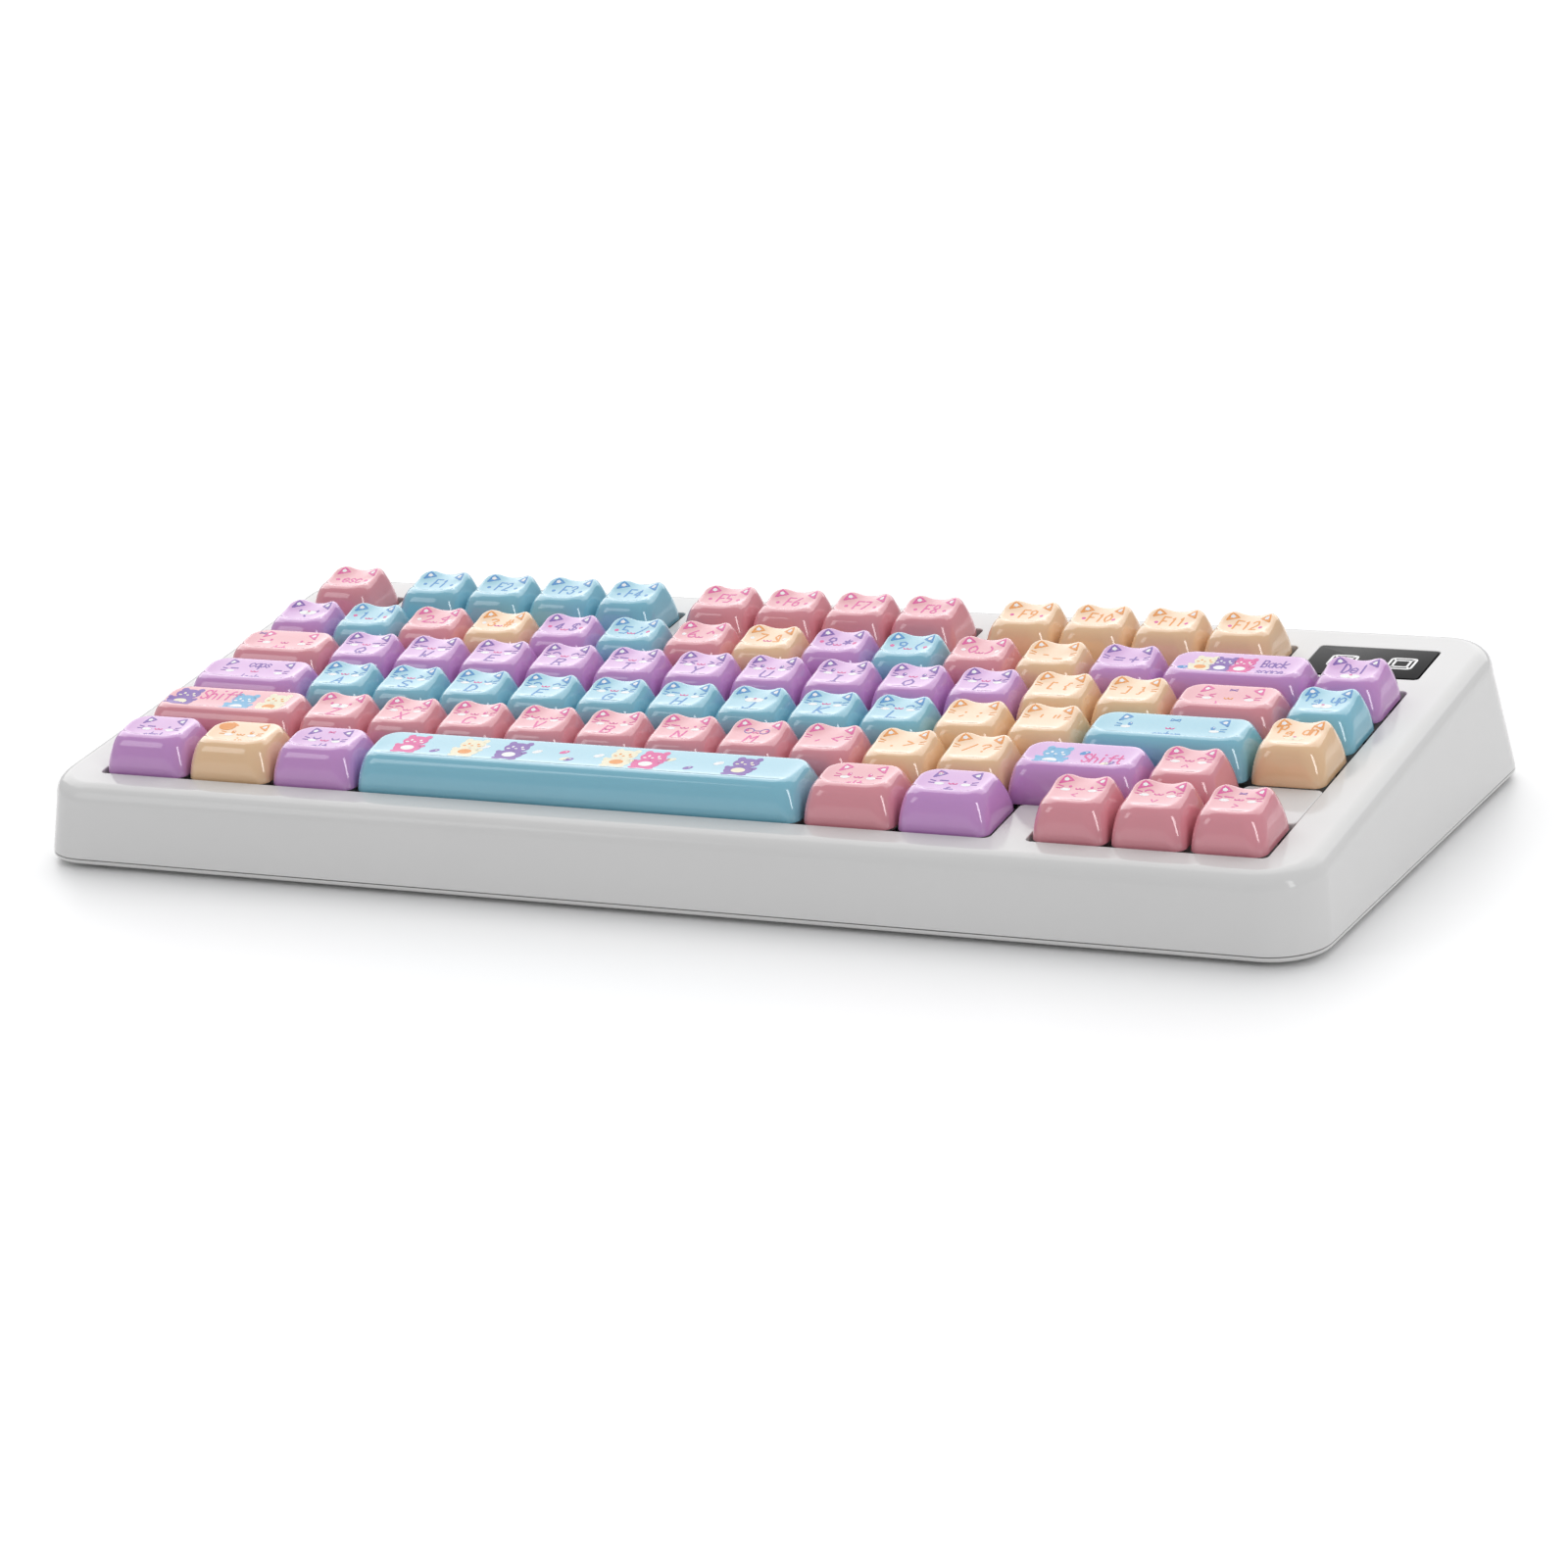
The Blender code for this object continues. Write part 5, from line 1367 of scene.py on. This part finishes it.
put_piece(softened(bm, "rubber_pads", 0.0002, 3), "case", "rubber_grey", "rubber_feet", finish=rubber)


# Folding feet: a white lever at each rear corner, hollowed between its ribs and grooved at the tip for a
# finger. Two stub pins hold it in its pocket.
for name in ("flip_foot_left", "flip_foot_right"):
    low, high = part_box(name)
    left, right = low.x + PIN_LENGTH, high.x - PIN_LENGTH
    radius = (high.z - low.z) / 2
    hinge = Vector((0, high.y - radius, low.z + radius))
    profile = [(low.y, low.z), (hinge.y, low.z)]
    profile += [(hinge.y + radius * sin(pi * step / 16), hinge.z - radius * cos(pi * step / 16))
                for step in range(1, 16)]
    profile += [(hinge.y, high.z), (low.y, high.z)]
    bm = bmesh.new()
    skin(bm, [[(x, y, z) for y, z in profile] for x in (left, right)])
    lever = mesh_from(bm, f"{name}_lever")
    lever.data.materials.append(tray_white)
    bm = bmesh.new()
    for step in range(5):
        x = left + (right - left) * (step + 0.5) / 5
        block(bm, (x - 0.0022, low.y + 0.0035, hinge.z + 0.0002),
              (x + 0.0022, hinge.y - 0.002, high.z + 0.001))
    for step in range(6):
        y = low.y + 0.0016 + step * 0.0011
        block(bm, (left + 0.005, y - 0.00022, low.z - 0.001), (right - 0.005, y + 0.00022, low.z + 0.00025))
    cut(lever, bm)
    put_piece(settled(lever), name, "case_white", name)
    bm = bmesh.new()
    along_x = Matrix.Translation((0, hinge.y, hinge.z)) @ Matrix.Rotation(pi / 2, 4, "Y")
    for start, end in ((low.x, left + 0.0004), (right - 0.0004, high.x)):
        drum(bm, 0, 0, 0.0009, start, end, 20, turn=along_x)
    put_piece(softened(bm, f"{name}_pins", 0.0001), name, "case_white", name, finish=tray_white)


# Space bar stabiliser: a bent steel wire under the longest key, so that it stays level. Its bar lies
# across the plate, and its two arms reach up to the cap.
low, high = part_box("space_stabiliser")
WIRE_RADIUS = 0.0008
BAR_DEPTH = 0.0053
BAR_ROW = -0.0086
ARM_RUN, ARM_RISE = 0.01032, 0.0038
half = (high.x - low.x) / 2 - WIRE_RADIUS
middle = (low.x + high.x) / 2
curve = bpy.data.curves.new("stabiliser_wire", "CURVE")
curve.dimensions = "3D"
curve.bevel_depth = WIRE_RADIUS
curve.bevel_resolution = 4
curve.use_fill_caps = True
spline = curve.splines.new("POLY")
BEND = 0.0018
path = [Vector((-half, ARM_RUN, ARM_RISE))]
for side in (-1, 1):
    arm = Vector((0, ARM_RUN, ARM_RISE)).normalized()
    turns = [pi / 2 * step / 6 for step in range(7)]
    corner = [Vector((side * (half - BEND * (1 - sin(t))), 0, 0)) + arm * BEND * (1 - cos(t)) for t in turns]
    path += corner[::-1] if side < 0 else corner
path.append(Vector((half, ARM_RUN, ARM_RISE)))
spline.points.add(len(path) - 1)
for point, place in zip(spline.points, path):
    point.co = (*(place + Vector((middle, BAR_ROW, -BAR_DEPTH))), 1)
wire = settled(link(bpy.data.objects.new("stabiliser_wire", curve)), on_deck)
wire.data.materials.clear()
wire.data.materials.append(steel)
put_piece(wire, "space_stabiliser", "steel", "space_stabiliser")


# Badge: a gloss black plate let into the deck, with two pale line drawings of a keycap joined by a dash.
BADGE_CORNER = 0.0008
BADGE_PROUD = 0.0001
badge_black = moulded("badge_black", (0.006, 0.006, 0.007), 0.20, 0.2, 0.02, shine=0.05)
bm = bmesh.new()
add_prism(bm, badge_outline(0, BADGE_CORNER), BADGE_PROUD - BADGE_THICKNESS, BADGE_PROUD)
put_piece(settled(softened(bm, "badge", 0.00015, 3), on_deck),
          "case", "badge_black", "badge_plate", finish=badge_black)
marks = Print()
for middle in (-6.6, 8.2):
    for reach, height, corner in ((3.1, 3.1, 0.9), (1.9, 1.9, 0.6)):
        shape = rounded(rectangle(middle - reach, middle + reach, -height, height), corner, 5)
        marks.stroke([*shape, shape[0]], "white", 0.32)
    for side in (-1, 1):
        for end in (-1, 1):
            marks.stroke([(middle + side * 2.7, end * 2.7), (middle + side * 1.8, end * 1.8)], "white", 0.26)
marks.stroke([(-1.6, 0), (3.2, 0)], "white", 0.5)
mark = settled(mesh_from(marks.bm, "badge_mark"), on_deck @ Matrix.Translation(
    ((badge_low.x + badge_high.x) / 2, badge_middle_y, 0.000105)), None)
mark.data.materials.append(ink_finish["white"])
put_piece(mark, "case")


# Screw bosses: three posts in the top shell's own white plastic. They stand inside its rear wall, over the
# screws that hold the tray.
BOSS_RADIUS = 0.003
BOSS_SHORT = 1.3 * CASE_WALL
bm = bmesh.new()
for x, y in SCREWS:
    drum(bm, x, y, BOSS_RADIUS, FLOOR_TOP + 0.0003, deck_z(y) - BOSS_SHORT, 24)
put_piece(softened(bm, "screw_bosses", 0.0001), "case", "case_white", finish=case_white)


# Blank insert: the white filler beside the up arrow, clipped in a little below the deck.
low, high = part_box("blank_insert")
top_level = -0.0004
front, rear = PITCH / 2 + 0.0001, 1.5 * PITCH - 0.0001
bm = bmesh.new()
add_prism(bm, rounded(rectangle(low.x, high.x, front, rear), OPENING_CORNER, 8), top_level - CASE_WALL,
          top_level)
for x in (low.x + 0.003, high.x - 0.003):
    for y in (front + 0.003, rear - 0.003):
        drum(bm, x, y, 0.0015, -0.0059, top_level - CASE_WALL / 2, 20)
put_piece(settled(softened(bm, "insert", 0.0004, 4), on_deck),
          "case", "case_white", "blank_insert", finish=case_white)


# USB socket: a drawn steel shell round a black tongue with gilt contacts, on a small green board.
low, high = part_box("usb_socket")
USB_WIDTH, USB_LENGTH, USB_TALL, USB_WALL = 0.0090, 0.0074, 0.0033, 0.00032
rear = high.y
mouth = Matrix.Translation((USB_X, rear, USB_HEIGHT - 0.0001)) @ Matrix.Rotation(pi / 2, 4, "X")


def usb_outline(shrink):
    """The round-ended outline of the plug's mouth, drawn in."""
    half_x, half_z = USB_WIDTH / 2 - shrink, USB_TALL / 2 - shrink
    return rounded(rectangle(-half_x, half_x, -half_z, half_z), half_z * 0.92, 8)


bm = bmesh.new()
rings = [(0, USB_LENGTH), (0, 0.0001), (0.0001, 0), (USB_WALL - 0.0001, 0), (USB_WALL, 0.0001),
         (USB_WALL, USB_LENGTH - 0.0012)]
skin(bm, [[mouth @ Vector((u, v, w)) for u, v in usb_outline(shrink)] for shrink, w in rings])
put_piece(settled(mesh_from(bm, "usb_shell")), "case", "steel", "usb_socket", finish=steel)
bm = bmesh.new()
block(bm, (USB_X - 0.0033, rear - USB_LENGTH + 0.001, USB_HEIGHT - 0.00045),
      (USB_X + 0.0033, rear - 0.0012, USB_HEIGHT + 0.00025))
put_piece(softened(bm, "usb_tongue", 0.0001), "case", "switch_black", "usb_socket", finish=switch_black)
bm = bmesh.new()
for step in range(12):
    x = USB_X - 0.00275 + step * 0.0005
    for z in (USB_HEIGHT - 0.0005, USB_HEIGHT + 0.00022):
        block(bm, (x - 0.00013, rear - USB_LENGTH + 0.0012, z), (x + 0.00013, rear - 0.0016, z + 0.00008))
put_piece(mesh_from(bm, "usb_contacts"),
          "case", "steel", "usb_socket", finish=metal("gilt", (0.83, 0.62, 0.25), 0.25))
bm = bmesh.new()
block(bm, low, (high.x, rear - 0.0003, low.z + 0.0012))
put_piece(softened(bm, "usb_board", 0.0001), "case", "board_green", "usb_socket", finish=solder_mask)


# Power slide: a black nub with three ridges, on a plate that runs behind the rear wall.
low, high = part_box("mode_switch")
bm = bmesh.new()
block(bm, low, (high.x, low.y + 0.0014, high.z))
nub_top = MODE_HEIGHT + 0.0012
block(bm, (MODE_X - 0.0016, low.y + 0.0012, MODE_HEIGHT - 0.0012),
      (MODE_X + 0.0016, high.y - 0.0003, nub_top))
for step in (-1, 0, 1):
    x = MODE_X + step * 0.0010
    block(bm, (x - 0.00025, high.y - 0.0006, MODE_HEIGHT - 0.0011), (x + 0.00025, high.y, nub_top - 0.0001))
put_piece(softened(bm, "power_slide", 0.00012),
          "mode_switch", "switch_black", "mode_switch", finish=switch_black)
